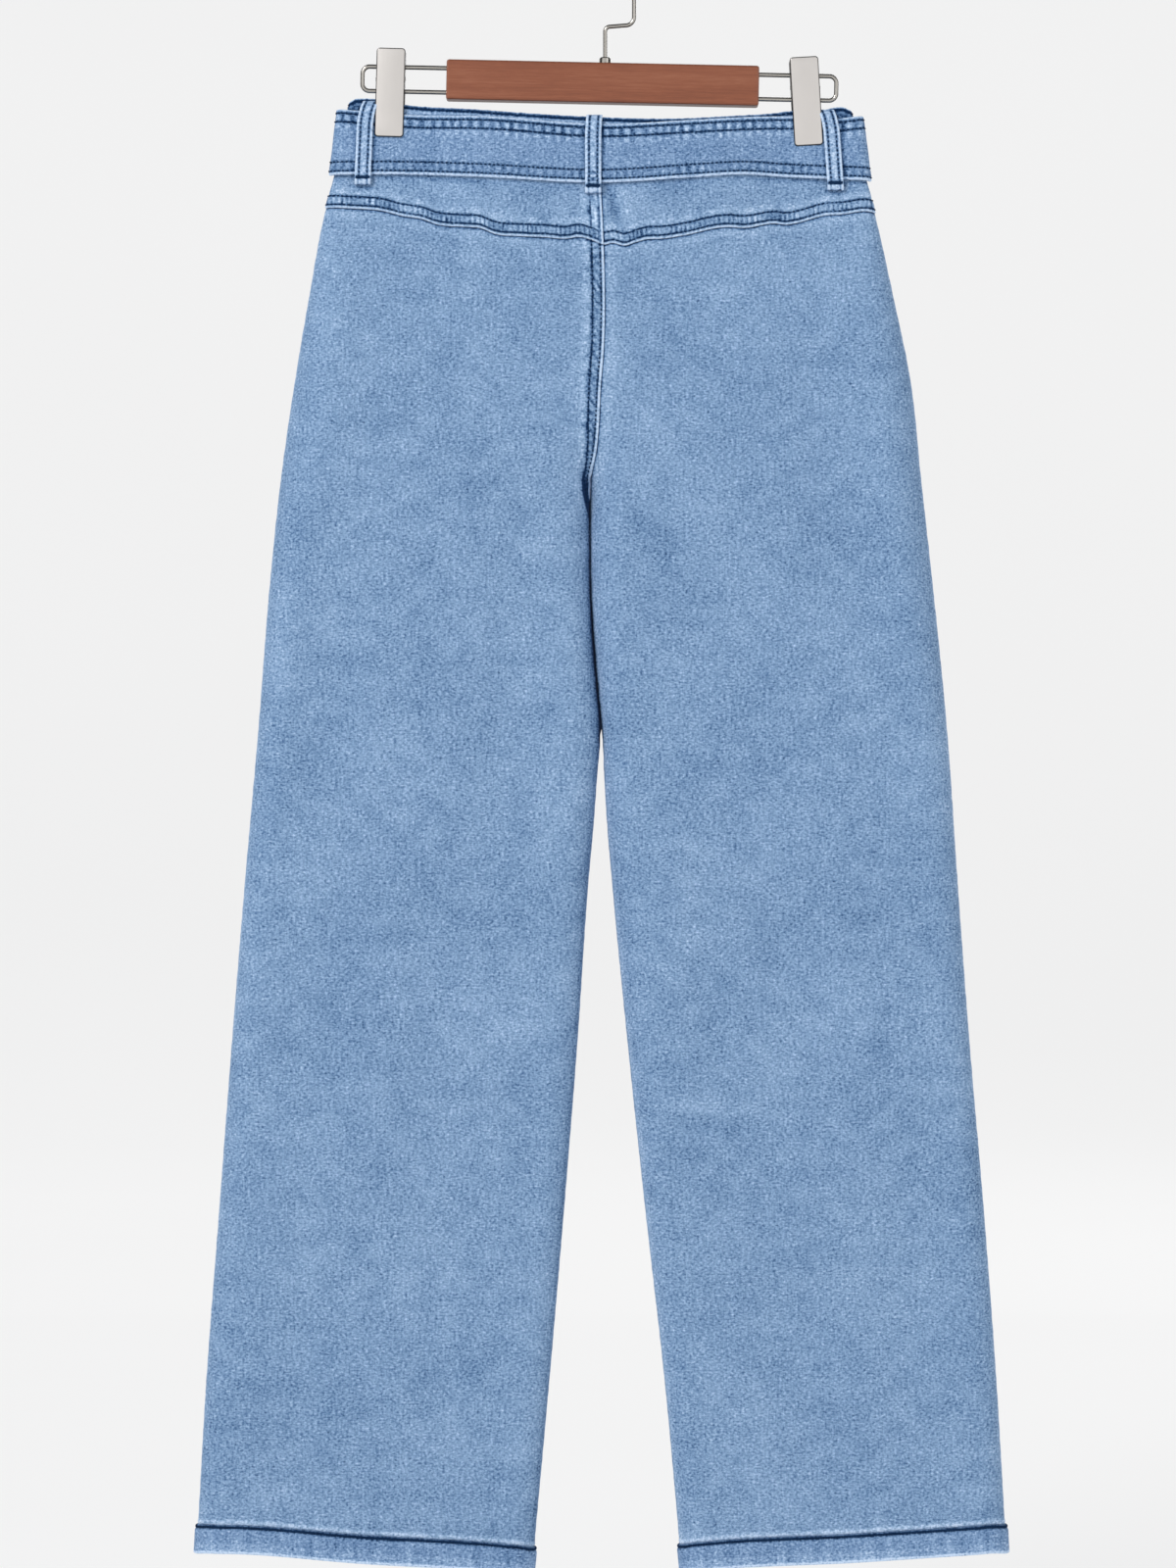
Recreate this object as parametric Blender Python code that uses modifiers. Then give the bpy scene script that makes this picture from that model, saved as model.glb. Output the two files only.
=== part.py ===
"""Wide leg jeans with their own cloth belt, hung flat from a wooden clip hanger.

The back of the jeans faces -Y and their front +Y.  +X is the right hand of someone who
looks at the back, and +Z is up.  The origin is the top of the inside of the hanger's hook,
where a rail or a peg holds it.  Lengths and tables are in millimetres, and each mesh is
scaled to metres where it is made.
"""

from collections import namedtuple
from math import cos, pi, radians, sin

import bmesh
import bpy
import numpy as np

MM = 0.001
COLLECTION = "wide_leg_jeans"

# Cloth thicknesses and the room left between pieces.
GAP = 0.3
PANEL_WALL = 1.5
YOKE_WALL = 2.0
WAISTBAND_WALL = 2.4
BELT_WALL = 2.2
LOOP_WALL = 2.0
HEM_WALL = 3.0
FLY_WALL = 1.5

# How far an outer face stands out from the outer face of the leg panels.
YOKE_LIFT = YOKE_WALL - PANEL_WALL
WAISTBAND_LIFT = WAISTBAND_WALL - PANEL_WALL
BELT_EASE = 0.5
BELT_LIFT = WAISTBAND_LIFT + BELT_EASE + BELT_WALL
HEM_LIFT = 1.2

# Rounding of the tube's side folds and of the saddle at the crotch.
ROLL_PER_DEPTH = 1.3
BELT_ROLL = 12.0
CROTCH_Z = -380.0
SADDLE_HEIGHT = 60.0

# Each level of the flat tube: its side folds, and the depth of its back and its front.
Level = namedtuple("Level", "z left right back front")
LEVELS = (
    Level(-108, -181.7, 173.6, 6.0, 6.0),
    Level(-160, -192.4, 184.8, 8.2, 8.2),
    Level(-190, -200.3, 192.6, 11.0, 10.5),
    Level(-250, -211.5, 206.0, 16.0, 14.0),
    Level(-310, -221.6, 218.2, 20.0, 16.0),
    Level(-380, -231.6, 225.7, 21.0, 16.0),
    Level(-450, -239.0, 233.4, 19.0, 16.0),
    Level(-560, -247.8, 244.3, 17.0, 15.5),
    Level(-670, -257.5, 251.9, 16.0, 15.0),
    Level(-780, -266.4, 260.1, 15.0, 14.5),
    Level(-900, -275.5, 270.3, 14.5, 14.0),
    Level(-1020, -284.6, 279.2, 14.0, 14.0),
    Level(-1150, -292.0, 286.8, 14.0, 14.0),
)

# The folded inner edge of each leg, from the crotch down.
Inseam = namedtuple("Inseam", "z left_leg right_leg")
INSEAMS = (
    Inseam(-380, -10.65, -10.35),
    Inseam(-450, -11.2, -9.2),
    Inseam(-560, -6.6, -2.0),
    Inseam(-670, -12.2, 5.2),
    Inseam(-780, -19.7, 15.9),
    Inseam(-900, -29.3, 28.6),
    Inseam(-1020, -39.6, 42.2),
    Inseam(-1150, -51.5, 54.2),
)

# The seam between the left and the right half, on the back and on the front.
CentreSeam = namedtuple("CentreSeam", "z back front")
CENTRE_SEAMS = (
    CentreSeam(-110, -6.5, -3.0),
    CentreSeam(-170, -3.2, -3.0),
    CentreSeam(-210, -1.2, -3.0),
    CentreSeam(-290, -1.1, -4.2),
    CentreSeam(-315, -3.1, -5.4),
    CentreSeam(-345, -4.6, -8.0),
    CentreSeam(-360, -6.1, -9.3),
    CentreSeam(-380, -10.5, -10.5),
)

# Edges that run across the garment, as heights at places along X.
Edge = namedtuple("Edge", "x back front")
WAISTBAND_TOP = (
    Edge(-183, -115.5, -115.5),
    Edge(-173, -108.5, -109.5),
    Edge(-142, -112.4, -113.5),
    Edge(-82, -115.5, -121.5),
    Edge(-15, -121.0, -130.5),
    Edge(58, -122.5, -130.0),
    Edge(119, -118.8, -122.0),
    Edge(133, -116.6, -118.5),
    Edge(162, -114.1, -115.0),
    Edge(174, -116.6, -116.6),
)
WAIST_SEAM = (
    Edge(-193, -158.0, -158.0),
    Edge(-142, -157.0, -158.0),
    Edge(-82, -160.0, -164.0),
    Edge(-3, -164.5, -172.5),
    Edge(58, -161.5, -171.0),
    Edge(102, -158.5, -166.0),
    Edge(131, -159.5, -162.0),
    Edge(186, -161.0, -161.0),
)
BELT_TOP = (
    Edge(-192, -115.5, -115.5),
    Edge(-142, -119.7, -120.5),
    Edge(-82, -121.0, -127.0),
    Edge(-3, -126.4, -135.0),
    Edge(65, -123.3, -134.5),
    Edge(131, -120.3, -124.5),
    Edge(166, -122.5, -122.5),
    Edge(186, -120.0, -120.0),
)
BELT_FOOT = (
    Edge(-197, -161.7, -161.7),
    Edge(-142, -160.7, -162.0),
    Edge(-82, -163.0, -168.5),
    Edge(-3, -166.8, -176.5),
    Edge(65, -162.8, -174.0),
    Edge(102, -160.6, -169.0),
    Edge(131, -162.1, -166.0),
    Edge(189, -165.1, -165.1),
)
YOKE_SEAM = (
    Edge(-199.4, -184.8, -184.8),
    Edge(-122.3, -194.5, -194.5),
    Edge(-79.5, -203.0, -203.0),
    Edge(-36.8, -207.2, -207.2),
    Edge(-15.0, -207.4, -207.4),
    Edge(12.9, -212.1, -212.1),
    Edge(34.4, -208.4, -208.4),
    Edge(80.0, -200.0, -200.0),
    Edge(125.5, -194.6, -194.6),
    Edge(155.8, -190.1, -190.1),
    Edge(193.8, -187.9, -187.9),
)
HEM_FOOT = (
    Edge(-293, -1145.2, -1145.2),
    Edge(-172, -1154.5, -1154.5),
    Edge(-52, -1162.4, -1162.4),
    Edge(54, -1161.0, -1161.0),
    Edge(170, -1155.5, -1155.5),
    Edge(288, -1148.0, -1148.0),
)
HEM_HEIGHT = 20.5

# The belt's own side folds stand clear of the waistband's.
BeltSide = namedtuple("BeltSide", "z left right")
BELT_SIDES = (
    BeltSide(-115.5, -192.0, 184.0),
    BeltSide(-163.0, -197.6, 190.0),
)

# The belt is one open strip.  It starts at the front under itself, goes round the left
# side, the back and the right side, and laps over its start to end beyond a loop.
BELT_START_X = 14.0
BELT_END_X = -124.0
BELT_RAMP = 16.0

# The loops: the top and foot of each strip's middle, on the back or on the front.
Loop = namedtuple("Loop", "name face x_top z_top x_foot z_foot layers")
LOOPS = (
    Loop("loop_back_left", "back", -170.5, -109.8, -173.0, -168.7, 1),
    Loop("loop_back_centre", "back", -8.6, -120.4, -8.6, -175.0, 1),
    Loop("loop_back_right", "back", 160.2, -116.0, 164.4, -172.7, 1),
    Loop("loop_front_left", "front", -98.0, -118.8, -98.0, -174.5, 2),
    Loop("loop_front_right", "front", 90.0, -124.4, 90.0, -177.5, 1),
)
LOOP_WIDTH = 11.5
LOOP_RAMP = 5.0
LOOP_ROWS = 15
LOOP_SLACK = 0.5

# The flap over the zip: its edge laps the centre front seam.
FLY_WIDTH = 36.0
FLY_LAP = 3.0
FLY_TOP_CLEARANCE = 6.5
FLY_FOOT_Z = -335.0
FLY_CURVE = 50.0
FLY_TIP = 5.0

# Soft folds of the legs: a ridge or a trough from one point to another.
Fold = namedtuple("Fold", "face x_top z_top x_foot z_foot half_width height")
FOLDS = (
    Fold("back", -182, -205, -203, -430, 30, 2.2),
    Fold("back", -44, -350, -84, -700, 46, -2.4),
    Fold("back", -196, -450, -204, -640, 40, -2.2),
    Fold("back", -150, -640, -168, -880, 46, 2.4),
    Fold("back", -118, -820, -100, -1100, 50, -2.2),
    Fold("back", -238, -820, -252, -1120, 34, 1.8),
    Fold("back", 143, -230, 178, -520, 44, -2.6),
    Fold("back", 196, -280, 222, -560, 32, 1.8),
    Fold("back", 44, -600, 56, -840, 34, 2.6),
    Fold("back", 126, -640, 150, -860, 46, -2.6),
    Fold("back", 214, -820, 226, -1080, 42, -2.2),
    Fold("back", 126, -940, 166, -1140, 48, -2.6),
    Fold("front", -120, -330, -150, -700, 54, -2.4),
    Fold("front", -200, -420, -214, -760, 38, 2.0),
    Fold("front", -96, -700, -112, -1080, 46, 2.4),
    Fold("front", -214, -800, -228, -1110, 44, -2.2),
    Fold("front", 96, -300, 132, -660, 52, -2.4),
    Fold("front", 190, -400, 212, -720, 40, 2.0),
    Fold("front", 76, -620, 92, -980, 40, 2.2),
    Fold("front", 180, -720, 206, -1100, 50, -2.6),
)

# The grid of a leg panel: rows as shares of the way down, above and below the crotch.
ARC_CELLS = 4
MIDDLE_CELLS = 9
WAIST_CELLS = 30
UNDER_LAP_CELLS = 14
OVER_LAP_CELLS = 24
UPPER_ROWS = (0.0, 0.3, 0.58, 0.76, 0.89, 0.96)
LOWER_ROWS = tuple(row / 10 for row in range(11))
BAND_ROWS = (0.0, 0.33, 0.67, 1.0)

# The clips, each leaning a little, and where they hold front and back together.
Clip = namedtuple("Clip", "side x_top x_foot z_top z_foot")
CLIPS = (
    Clip("left", -152.5, -154.2, -72.3, -135.8),
    Clip("right", 141.6, 145.2, -79.1, -141.4),
)
CLIP_WIDTH = 20.5
CLIP_HEIGHT = 63.5
CLIP_PLATE = 1.2
CLIP_INNER_Y = 6.0
FLANGE_HEIGHT = 32.0
FLANGE_WALL = 1.0
FLANGE_INNER_Y = 1.9
CLIP_EDGE = 0.9
PIN_RADIUS = 1.3
SPRING_RADIUS = 5.4
SPRING_LENGTH = 14.0
CLIP_FLAT = 18.0
HOLD_REACH = 52.0
HOLD_MARGIN = 6.0
HOLD_FADE = 95.0
HELD_DEPTH = PANEL_WALL + 0.6

# The wooden bar with its two wire rails, turned a little about its middle.
BAR_X = -1.8
BAR_Z = -96.8
BAR_TILT = radians(1.2)
BAR_LENGTH = 223.0
BAR_HEIGHT = 28.5
BAR_DEPTH = 14.0
BAR_EDGE = 1.6
RAIL_RADIUS = 1.6
RAIL_HALF_GAP = 8.7
RAIL_CORNER = 5.0
RAIL_SEAT = 10.0
RAIL_REACH = {"left": 60.8, "right": 55.2}

# The hook: one wire from the bar, a jog sideways, a riser and an arc over the top.
WIRE_RADIUS = 1.5
HOOK_RADIUS = 20.65
HOOK_CENTRE_Z = WIRE_RADIUS - HOOK_RADIUS
HOOK_JOG_Z = -55.65
HOOK_BEND = 3.6
HOOK_TAIL = 13.0
HOOK_FOOT_Z = -92.0
HOOK_ARC_STEPS = 18
BEND_STEPS = 4
FERRULE_RADIUS = 4.2
FERRULE_BORE = WIRE_RADIUS + GAP
HOOK_BORE = WIRE_RADIUS + 0.5
HOOK_SEAT = 20.0
HOOK_SEAT_LEVEL = 9.5
FERRULE_HEIGHT = 4.0
FERRULE_EDGE = 0.8

Finish = namedtuple("Finish", "colour roughness metallic")
DENIM = Finish((0.205, 0.335, 0.535), 0.88, 0.0)
DENIM_DARKER = Finish((0.185, 0.305, 0.505), 0.88, 0.0)
WOOD = Finish((0.285, 0.108, 0.065), 0.42, 0.0)
NICKEL = Finish((0.62, 0.59, 0.56), 0.34, 1.0)
STEEL = Finish((0.55, 0.53, 0.50), 0.25, 1.0)


class Line:
    """A smooth line through a table's rows that runs on straight past its ends."""

    def __init__(self, places, values):
        order = np.argsort(places)
        self.places = np.array(places, float)[order]
        self.values = np.array(values, float)[order]
        self.slopes = np.gradient(self.values, self.places)

    def __call__(self, place):
        place = np.asarray(place, float)
        inside = np.clip(place, self.places[0], self.places[-1])
        row = np.clip(np.searchsorted(self.places, inside) - 1, 0, len(self.places) - 2)
        step = self.places[row + 1] - self.places[row]
        share = (inside - self.places[row]) / step
        rise = share * share * (3 - 2 * share)
        start_pull = share * (1 - share) ** 2 * step * self.slopes[row]
        end_pull = share * share * (share - 1) * step * self.slopes[row + 1]
        value = self.values[row] * (1 - rise) + self.values[row + 1] * rise
        run_on = (place - inside) * np.where(place > inside, self.slopes[-1], self.slopes[0])
        return value + start_pull + end_pull + run_on


def lines(table, place, *columns):
    """A Line for each named column of a table."""
    places = [getattr(row, place) for row in table]
    return {name: Line(places, [getattr(row, name) for row in table]) for name in columns}


BODY = lines(LEVELS, "z", "left", "right", "back", "front")
LEG = lines(INSEAMS, "z", "left_leg", "right_leg")
SEAM = lines(CENTRE_SEAMS, "z", "back", "front")
BELT = lines(BELT_SIDES, "z", "left", "right")
EDGES = {
    "waistband_top": lines(WAISTBAND_TOP, "x", "back", "front"),
    "waist_seam": lines(WAIST_SEAM, "x", "back", "front"),
    "belt_top": lines(BELT_TOP, "x", "back", "front"),
    "belt_foot": lines(BELT_FOOT, "x", "back", "front"),
    "yoke_seam": lines(YOKE_SEAM, "x", "back", "front"),
    "hem_foot": lines(HEM_FOOT, "x", "back", "front"),
}
FACES = {"back": -1.0, "front": 1.0}


def ease(share):
    """0 to 1 with a soft start and a soft end."""
    share = np.clip(share, 0.0, 1.0)
    return share * share * (3 - 2 * share)


def rounded(share):
    """The height of a quarter circle at a share of the way in from its edge."""
    return np.sqrt(1 - (1 - np.clip(share, 0.0, 1.0)) ** 2)


def held(x, z):
    """1 where a clip presses front and back together, down to 0 where they are free."""
    most = np.zeros(np.broadcast(x, z).shape)
    for clip in CLIPS:
        beside = 1 - ease((abs(x - clip.x_foot) - CLIP_FLAT) / HOLD_REACH)
        below = 1 - ease((clip.z_foot - HOLD_MARGIN - z) / HOLD_FADE)
        most = np.maximum(most, beside * below)
    return most


def folded(x, z, face):
    """The height that the soft folds add to a face."""
    height = np.zeros(np.broadcast(x, z).shape)
    for fold in FOLDS:
        if fold.face == face:
            along = (fold.z_top - z) / (fold.z_top - fold.z_foot)
            middle = fold.x_top + (fold.x_foot - fold.x_top) * along
            across = np.clip((x - middle) / fold.half_width, -1, 1)
            fade = np.clip(4 * along * (1 - along), 0, 1)
            height = height + fold.height * fade * np.cos(across * pi / 2) ** 2
    return height


def full_depth(x, z, face):
    """The depth of a face before its edges are rounded off."""
    depth = BODY[face](z)
    depth = depth - held(x, z) * (depth - HELD_DEPTH)
    return depth + folded(x, z, face)


def roll(z, face, inset):
    """The width over which a side fold of the body rounds off."""
    return ROLL_PER_DEPTH * BODY[face](z) - inset


def seam_edges(z, face, inset):
    """The inner edges of the left and right halves: a seam above the crotch, folds below."""
    above = z > CROTCH_Z + inset
    left = np.where(above, SEAM[face](z) - GAP / 2, LEG["left_leg"](z) - inset)
    right = np.where(above, SEAM[face](z) + GAP / 2, LEG["right_leg"](z) + inset)
    return left, right


def body_y(x, z, face, side, inset, join=GAP / 2):
    """Y of the cloth moved in by an inset.  Side is the half it's on, or None for both."""
    width = roll(z, face, inset)
    outer_left = x - BODY["left"](z) - inset
    outer_right = BODY["right"](z) - inset - x
    shape = rounded(np.minimum(outer_left, outer_right) / width)
    if side:
        left, right = seam_edges(z, face, inset)
        to_edge = left - x if side == "left" else x - right
        rise = (z - CROTCH_Z - inset) / (SADDLE_HEIGHT - inset)
        away = np.hypot(to_edge / width, np.maximum(rise, 0))
        shape = shape * rounded(away)
    return FACES[face] * (join + (full_depth(x, z, face) - inset - join) * shape)


def stations(middle_cells, start_arc=True, end_arc=True):
    """Columns across a panel: shares of its two edges, and of its two roundings."""
    turned = [1 - cos(pi / 2 * step / ARC_CELLS) for step in range(ARC_CELLS)]
    rows = [(1, 0, turn, 0) for turn in turned] if start_arc else []
    first = 1 if start_arc else 0
    last = 1 if end_arc else 0
    for step in range(middle_cells + 1):
        share = step / middle_cells
        rows.append((1 - share, share, first * (1 - share), last * share))
    if end_arc:
        rows += [(0, 1, 0, turn) for turn in reversed(turned)]
    return np.array(rows).T


def across(columns, start, end, width):
    """X of each column between a start edge and an end edge."""
    near_start, near_end, from_start, from_end = columns
    return near_start * start + near_end * end + (from_start - from_end) * width


def points(x, y, z):
    """One grid of points from three grids of coordinates."""
    return np.stack(np.broadcast_arrays(x, y, z), axis=-1)


def between(top, foot, share):
    """Heights at shares of the way down from a top line to a foot line."""
    return top * (1 - share) + foot * share


def leg_surface(face, side, inset):
    """A leg panel's grid, from its upper seam to its hem, moved in by an inset."""
    columns = stations(MIDDLE_CELLS)
    upper = np.array(UPPER_ROWS)[:, None]
    lower = np.array(LOWER_ROWS)[:, None]
    seam = EDGES["yoke_seam" if face == "back" else "waist_seam"][face]
    z = np.concatenate([between(-190, CROTCH_Z, upper), between(CROTCH_Z, -1135, lower)])
    z = z + np.zeros(columns.shape[1])
    for _ in range(4):
        x = half_x(columns, z, face, side, inset)
        top = seam(x[: len(upper)]) - GAP / 2
        foot = EDGES["hem_foot"][face](x[len(upper):]) + HEM_HEIGHT
        z = np.concatenate([between(top, CROTCH_Z, upper), between(CROTCH_Z, foot, lower)])
    return points(x, body_y(x, z, face, side, inset), z)


def half_x(columns, z, face, side, inset):
    """X of the columns of one half of the body."""
    left, right = seam_edges(z, face, inset)
    width = roll(z, face, inset)
    if side == "left":
        return across(columns, BODY["left"](z) + inset, left, width)
    return across(columns, right, BODY["right"](z) - inset, width)


def yoke_surface(side, inset):
    """One half of the back yoke, from the waist seam to the legs."""
    columns = stations(MIDDLE_CELLS)
    share = np.array(BAND_ROWS)[:, None]
    z = between(-162, -198, share) + np.zeros(columns.shape[1])
    for _ in range(4):
        x = half_x(columns, z, "back", side, inset)
        top = EDGES["waist_seam"]["back"](x) - GAP / 2
        z = between(top, EDGES["yoke_seam"]["back"](x) + GAP / 2, share)
    return points(x, body_y(x, z, "back", None, inset), z)


def waistband_surface(face, half, inset):
    """The back of the waistband, or a half of its front as far as the fly."""
    columns = stations(WAIST_CELLS)
    if half:
        columns = stations(WAIST_CELLS // 2, start_arc=half == "left", end_arc=half == "right")
    share = np.array(BAND_ROWS)[:, None]
    z = between(-118, -160, share) + np.zeros(columns.shape[1])
    for _ in range(4):
        start = BODY["left"](z) + inset
        end = BODY["right"](z) - inset
        if half == "left":
            end = SEAM[face](z) - GAP / 2
        if half == "right":
            start = SEAM[face](z) + GAP / 2
        x = across(columns, start, end, roll(z, face, inset))
        top = EDGES["waistband_top"][face](x)
        z = between(top, EDGES["waist_seam"][face](x) + GAP / 2, share)
    return points(x, body_y(x, z, face, None, inset), z)


def ring_surface(side, inset):
    """A hem: a ring round the foot of a leg, back first and then front."""
    columns = stations(MIDDLE_CELLS)
    share = np.array(BAND_ROWS)[:, None]
    grids = []
    for face in FACES:
        z = between(-1130, -1152, share) + np.zeros(columns.shape[1])
        for _ in range(4):
            x = half_x(columns, z, face, side, inset)
            foot = EDGES["hem_foot"][face](x)
            z = between(foot + HEM_HEIGHT - GAP, foot, share)
        grids.append(points(x, body_y(x, z, face, side, inset, join=0.0), z))
    back, front = grids
    return np.concatenate([back, front[:, -2:0:-1]], axis=1)


def belt_grid(face, columns, start, end, lift, under=0.0):
    """A stretch of the belt on one face, lifted off the panels."""
    share = np.array(BAND_ROWS)[:, None]
    z = between(-121, -163, share) + np.zeros(columns.shape[1])
    width = BELT_ROLL + lift - BELT_LIFT
    inset = BELT_LIFT - lift
    for _ in range(4):
        left = BELT["left"](z) + inset
        right = BELT["right"](z) - inset
        x = across(columns, left if start is None else start, right if end is None else end, width)
        top = EDGES["belt_top"][face](x)
        z = between(top, EDGES["belt_foot"][face](x), share)
    shape = rounded(np.minimum(x - left, right - x) / width)
    over = under * (1 - ease((x - BELT_START_X - 2) / BELT_RAMP))
    y = FACES[face] * (full_depth(x, z, face) + lift + over) * shape
    return points(x, y, z)


def belt_surface(lift):
    """The whole strip: under lap, left side, back, right side and over lap."""
    under = belt_grid("front", stations(UNDER_LAP_CELLS, True, False), None,
                      BELT_START_X, lift)
    back = belt_grid("back", stations(WAIST_CELLS), None, None, lift)
    over = belt_grid("front", stations(OVER_LAP_CELLS, False, True), BELT_END_X,
                     None, lift, BELT_WALL + GAP)
    return np.concatenate([under[:, ::-1], back[:, 1:], over[:, -2::-1]], axis=1)


def loop_surface(loop, height):
    """A loop's strip, held off the cloth at its ends and over the belt in between."""
    share = np.linspace(0, 1, LOOP_ROWS)[:, None]
    side = np.array((-0.5, 0.0, 0.5)) * LOOP_WIDTH
    x = between(loop.x_top, loop.x_foot, share) + side
    z = between(loop.z_top, loop.z_foot, share) + 0 * x
    down = ease((loop.z_top - z) / LOOP_RAMP)
    up = ease((z - loop.z_foot) / LOOP_RAMP)
    belt_height = loop.layers * (BELT_WALL + GAP) + LOOP_SLACK
    lift = WAISTBAND_LIFT + GAP + belt_height * np.minimum(down, up)
    y = FACES[loop.face] * (full_depth(x, z, loop.face) + lift + height)
    return points(x, y, z)


def fly_surface(inset):
    """The flap over the zip, with its rounded foot at the centre front seam."""
    rows = np.array((0, 0.2, 0.4, 0.6, 0.75, 0.85, 0.93, 0.98, 1.0))[:, None]
    share = np.linspace(0, 1, 7)
    z = between(-173.0, FLY_FOOT_Z, rows) + 0 * share
    for _ in range(4):
        near_foot = np.clip((z - FLY_FOOT_Z) / FLY_CURVE, 0, 1)
        width = FLY_TIP + (FLY_WIDTH - FLY_TIP) * rounded(near_foot)
        x = SEAM["front"](z) + FLY_LAP - width * (1 - share)
        top = EDGES["waist_seam"]["front"](x) - FLY_TOP_CLEARANCE
        z = between(top, FLY_FOOT_Z, rows)
    rise = (z - CROTCH_Z) / SADDLE_HEIGHT
    away = np.hypot((x - SEAM["front"](z)) / roll(z, "front", 0), rise)
    depth = (full_depth(x, z, "front") - GAP / 2) * rounded(away)
    return points(x, depth + GAP / 2 - inset, z)


def wall(name, outer, inner, finish, ring=False):
    """A closed wall between two grids of points of one shape."""
    rows, columns = outer.shape[:2]
    mesh = bmesh.new()
    grids = []
    for grid in (outer, inner):
        scaled = (grid * MM).tolist()
        grids.append([[mesh.verts.new(point) for point in row] for row in scaled])
    out, back = grids
    last = columns if ring else columns - 1
    for i in range(rows - 1):
        for j in range(last):
            k = (j + 1) % columns
            mesh.faces.new((out[i][j], out[i][k], out[i + 1][k], out[i + 1][j]))
            mesh.faces.new((back[i][j], back[i + 1][j], back[i + 1][k], back[i][k]))
    for i in (0, rows - 1):
        for j in range(last):
            k = (j + 1) % columns
            mesh.faces.new((out[i][j], back[i][j], back[i][k], out[i][k]))
    if not ring:
        for j in (0, columns - 1):
            for i in range(rows - 1):
                mesh.faces.new((out[i][j], out[i + 1][j], back[i + 1][j], back[i][j]))
    bmesh.ops.recalc_face_normals(mesh, faces=mesh.faces)
    data = bpy.data.meshes.new(name)
    mesh.to_mesh(data)
    mesh.free()
    data.shade_smooth()
    data.set_sharp_from_angle(angle=radians(40))
    return place(bpy.data.objects.new(name, data), finish)


def material(name, finish):
    """A plain material for one piece."""
    new = bpy.data.materials.new(name)
    new.use_nodes = True
    shader = new.node_tree.nodes["Principled BSDF"]
    shader.inputs["Base Color"].default_value = (*finish.colour, 1.0)
    shader.inputs["Roughness"].default_value = finish.roughness
    shader.inputs["Metallic"].default_value = finish.metallic
    return new


def place(piece, finish, parent=None):
    """Puts a piece in the part's collection with its own material."""
    for holder in list(piece.users_collection):
        holder.objects.unlink(piece)
    bpy.data.collections[COLLECTION].objects.link(piece)
    piece.data.materials.clear()
    piece.data.materials.append(material(piece.name, finish))
    piece.parent = parent
    return piece


def cutter(piece, group, parent=None):
    """Makes a piece a cutter of a group: seen as wire, and left out of the part."""
    for holder in list(piece.users_collection):
        holder.objects.unlink(piece)
    group.objects.link(piece)
    piece.hide_render = True
    piece.display_type = "WIRE"
    piece.parent = parent
    return piece


def block(name, size, centre, edge=0.0):
    """A box of a size in millimetres, with rounded edges if edge is given."""
    bpy.ops.mesh.primitive_cube_add(size=1.0)
    piece = bpy.context.object
    piece.name = name
    piece.scale = [length * MM for length in size]
    bpy.ops.object.transform_apply(location=False, rotation=False, scale=True)
    piece.location = [length * MM for length in centre]
    if edge:
        bevel = piece.modifiers.new("rounded_edges", "BEVEL")
        bevel.width = edge * MM
        bevel.segments = 2
    return piece


def rod(name, radius, length, centre, turn=(0.0, 0.0, 0.0), sides=20):
    """A round rod; unturned it stands along Z."""
    bpy.ops.mesh.primitive_cylinder_add(vertices=sides, radius=radius * MM, depth=length * MM)
    piece = bpy.context.object
    piece.name = name
    piece.location = [place_mm * MM for place_mm in centre]
    piece.rotation_euler = turn
    return piece


def empty(name, x, z, tilt):
    """A frame for the pieces of the hanger, turned about Y."""
    frame = bpy.data.objects.new(name, None)
    frame.location = (x * MM, 0.0, z * MM)
    frame.rotation_euler = (0.0, tilt, 0.0)
    bpy.data.collections[COLLECTION].objects.link(frame)
    return frame


def bend(centre_x, centre_z, radius, start, end, steps):
    """Points of an arc in the plane of the hanger, from one angle to another."""
    angles = [start + (end - start) * step / steps for step in range(steps + 1)]
    return [(centre_x + radius * cos(a), centre_z + radius * sin(a)) for a in angles]


def wire(name, path, radius, finish, parent=None):
    """A bent wire along a path of X and Z."""
    curve = bpy.data.curves.new(name, "CURVE")
    curve.dimensions = "3D"
    curve.bevel_depth = radius * MM
    curve.bevel_resolution = 2
    curve.use_fill_caps = True
    spline = curve.splines.new("POLY")
    spline.points.add(len(path) - 1)
    for point, (x, z) in zip(spline.points, path):
        point.co = (x * MM, 0.0, z * MM, 1.0)
    spline.use_smooth = True
    return place(bpy.data.objects.new(name, curve), finish, parent)


def add_cloth():
    """The panels, yokes, waistband, fly and hems of the jeans."""
    for side in ("left", "right"):
        for face in FACES:
            outer = leg_surface(face, side, 0.0)
            wall(f"{face}_leg_{side}", outer, leg_surface(face, side, PANEL_WALL), DENIM)
        inner = yoke_surface(side, PANEL_WALL)
        wall(f"back_yoke_{side}", yoke_surface(side, -YOKE_LIFT), inner, DENIM)
        inner = waistband_surface("front", side, PANEL_WALL)
        outer = waistband_surface("front", side, -WAISTBAND_LIFT)
        wall(f"waistband_front_{side}", outer, inner, DENIM_DARKER)
        inner = ring_surface(side, HEM_WALL - HEM_LIFT)
        wall(f"hem_{side}", ring_surface(side, -HEM_LIFT), inner, DENIM_DARKER, ring=True)
    outer = waistband_surface("back", None, -WAISTBAND_LIFT)
    wall("waistband_back", outer, waistband_surface("back", None, PANEL_WALL), DENIM_DARKER)
    wall("fly_flap", fly_surface(-GAP - FLY_WALL), fly_surface(-GAP), DENIM)


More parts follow.
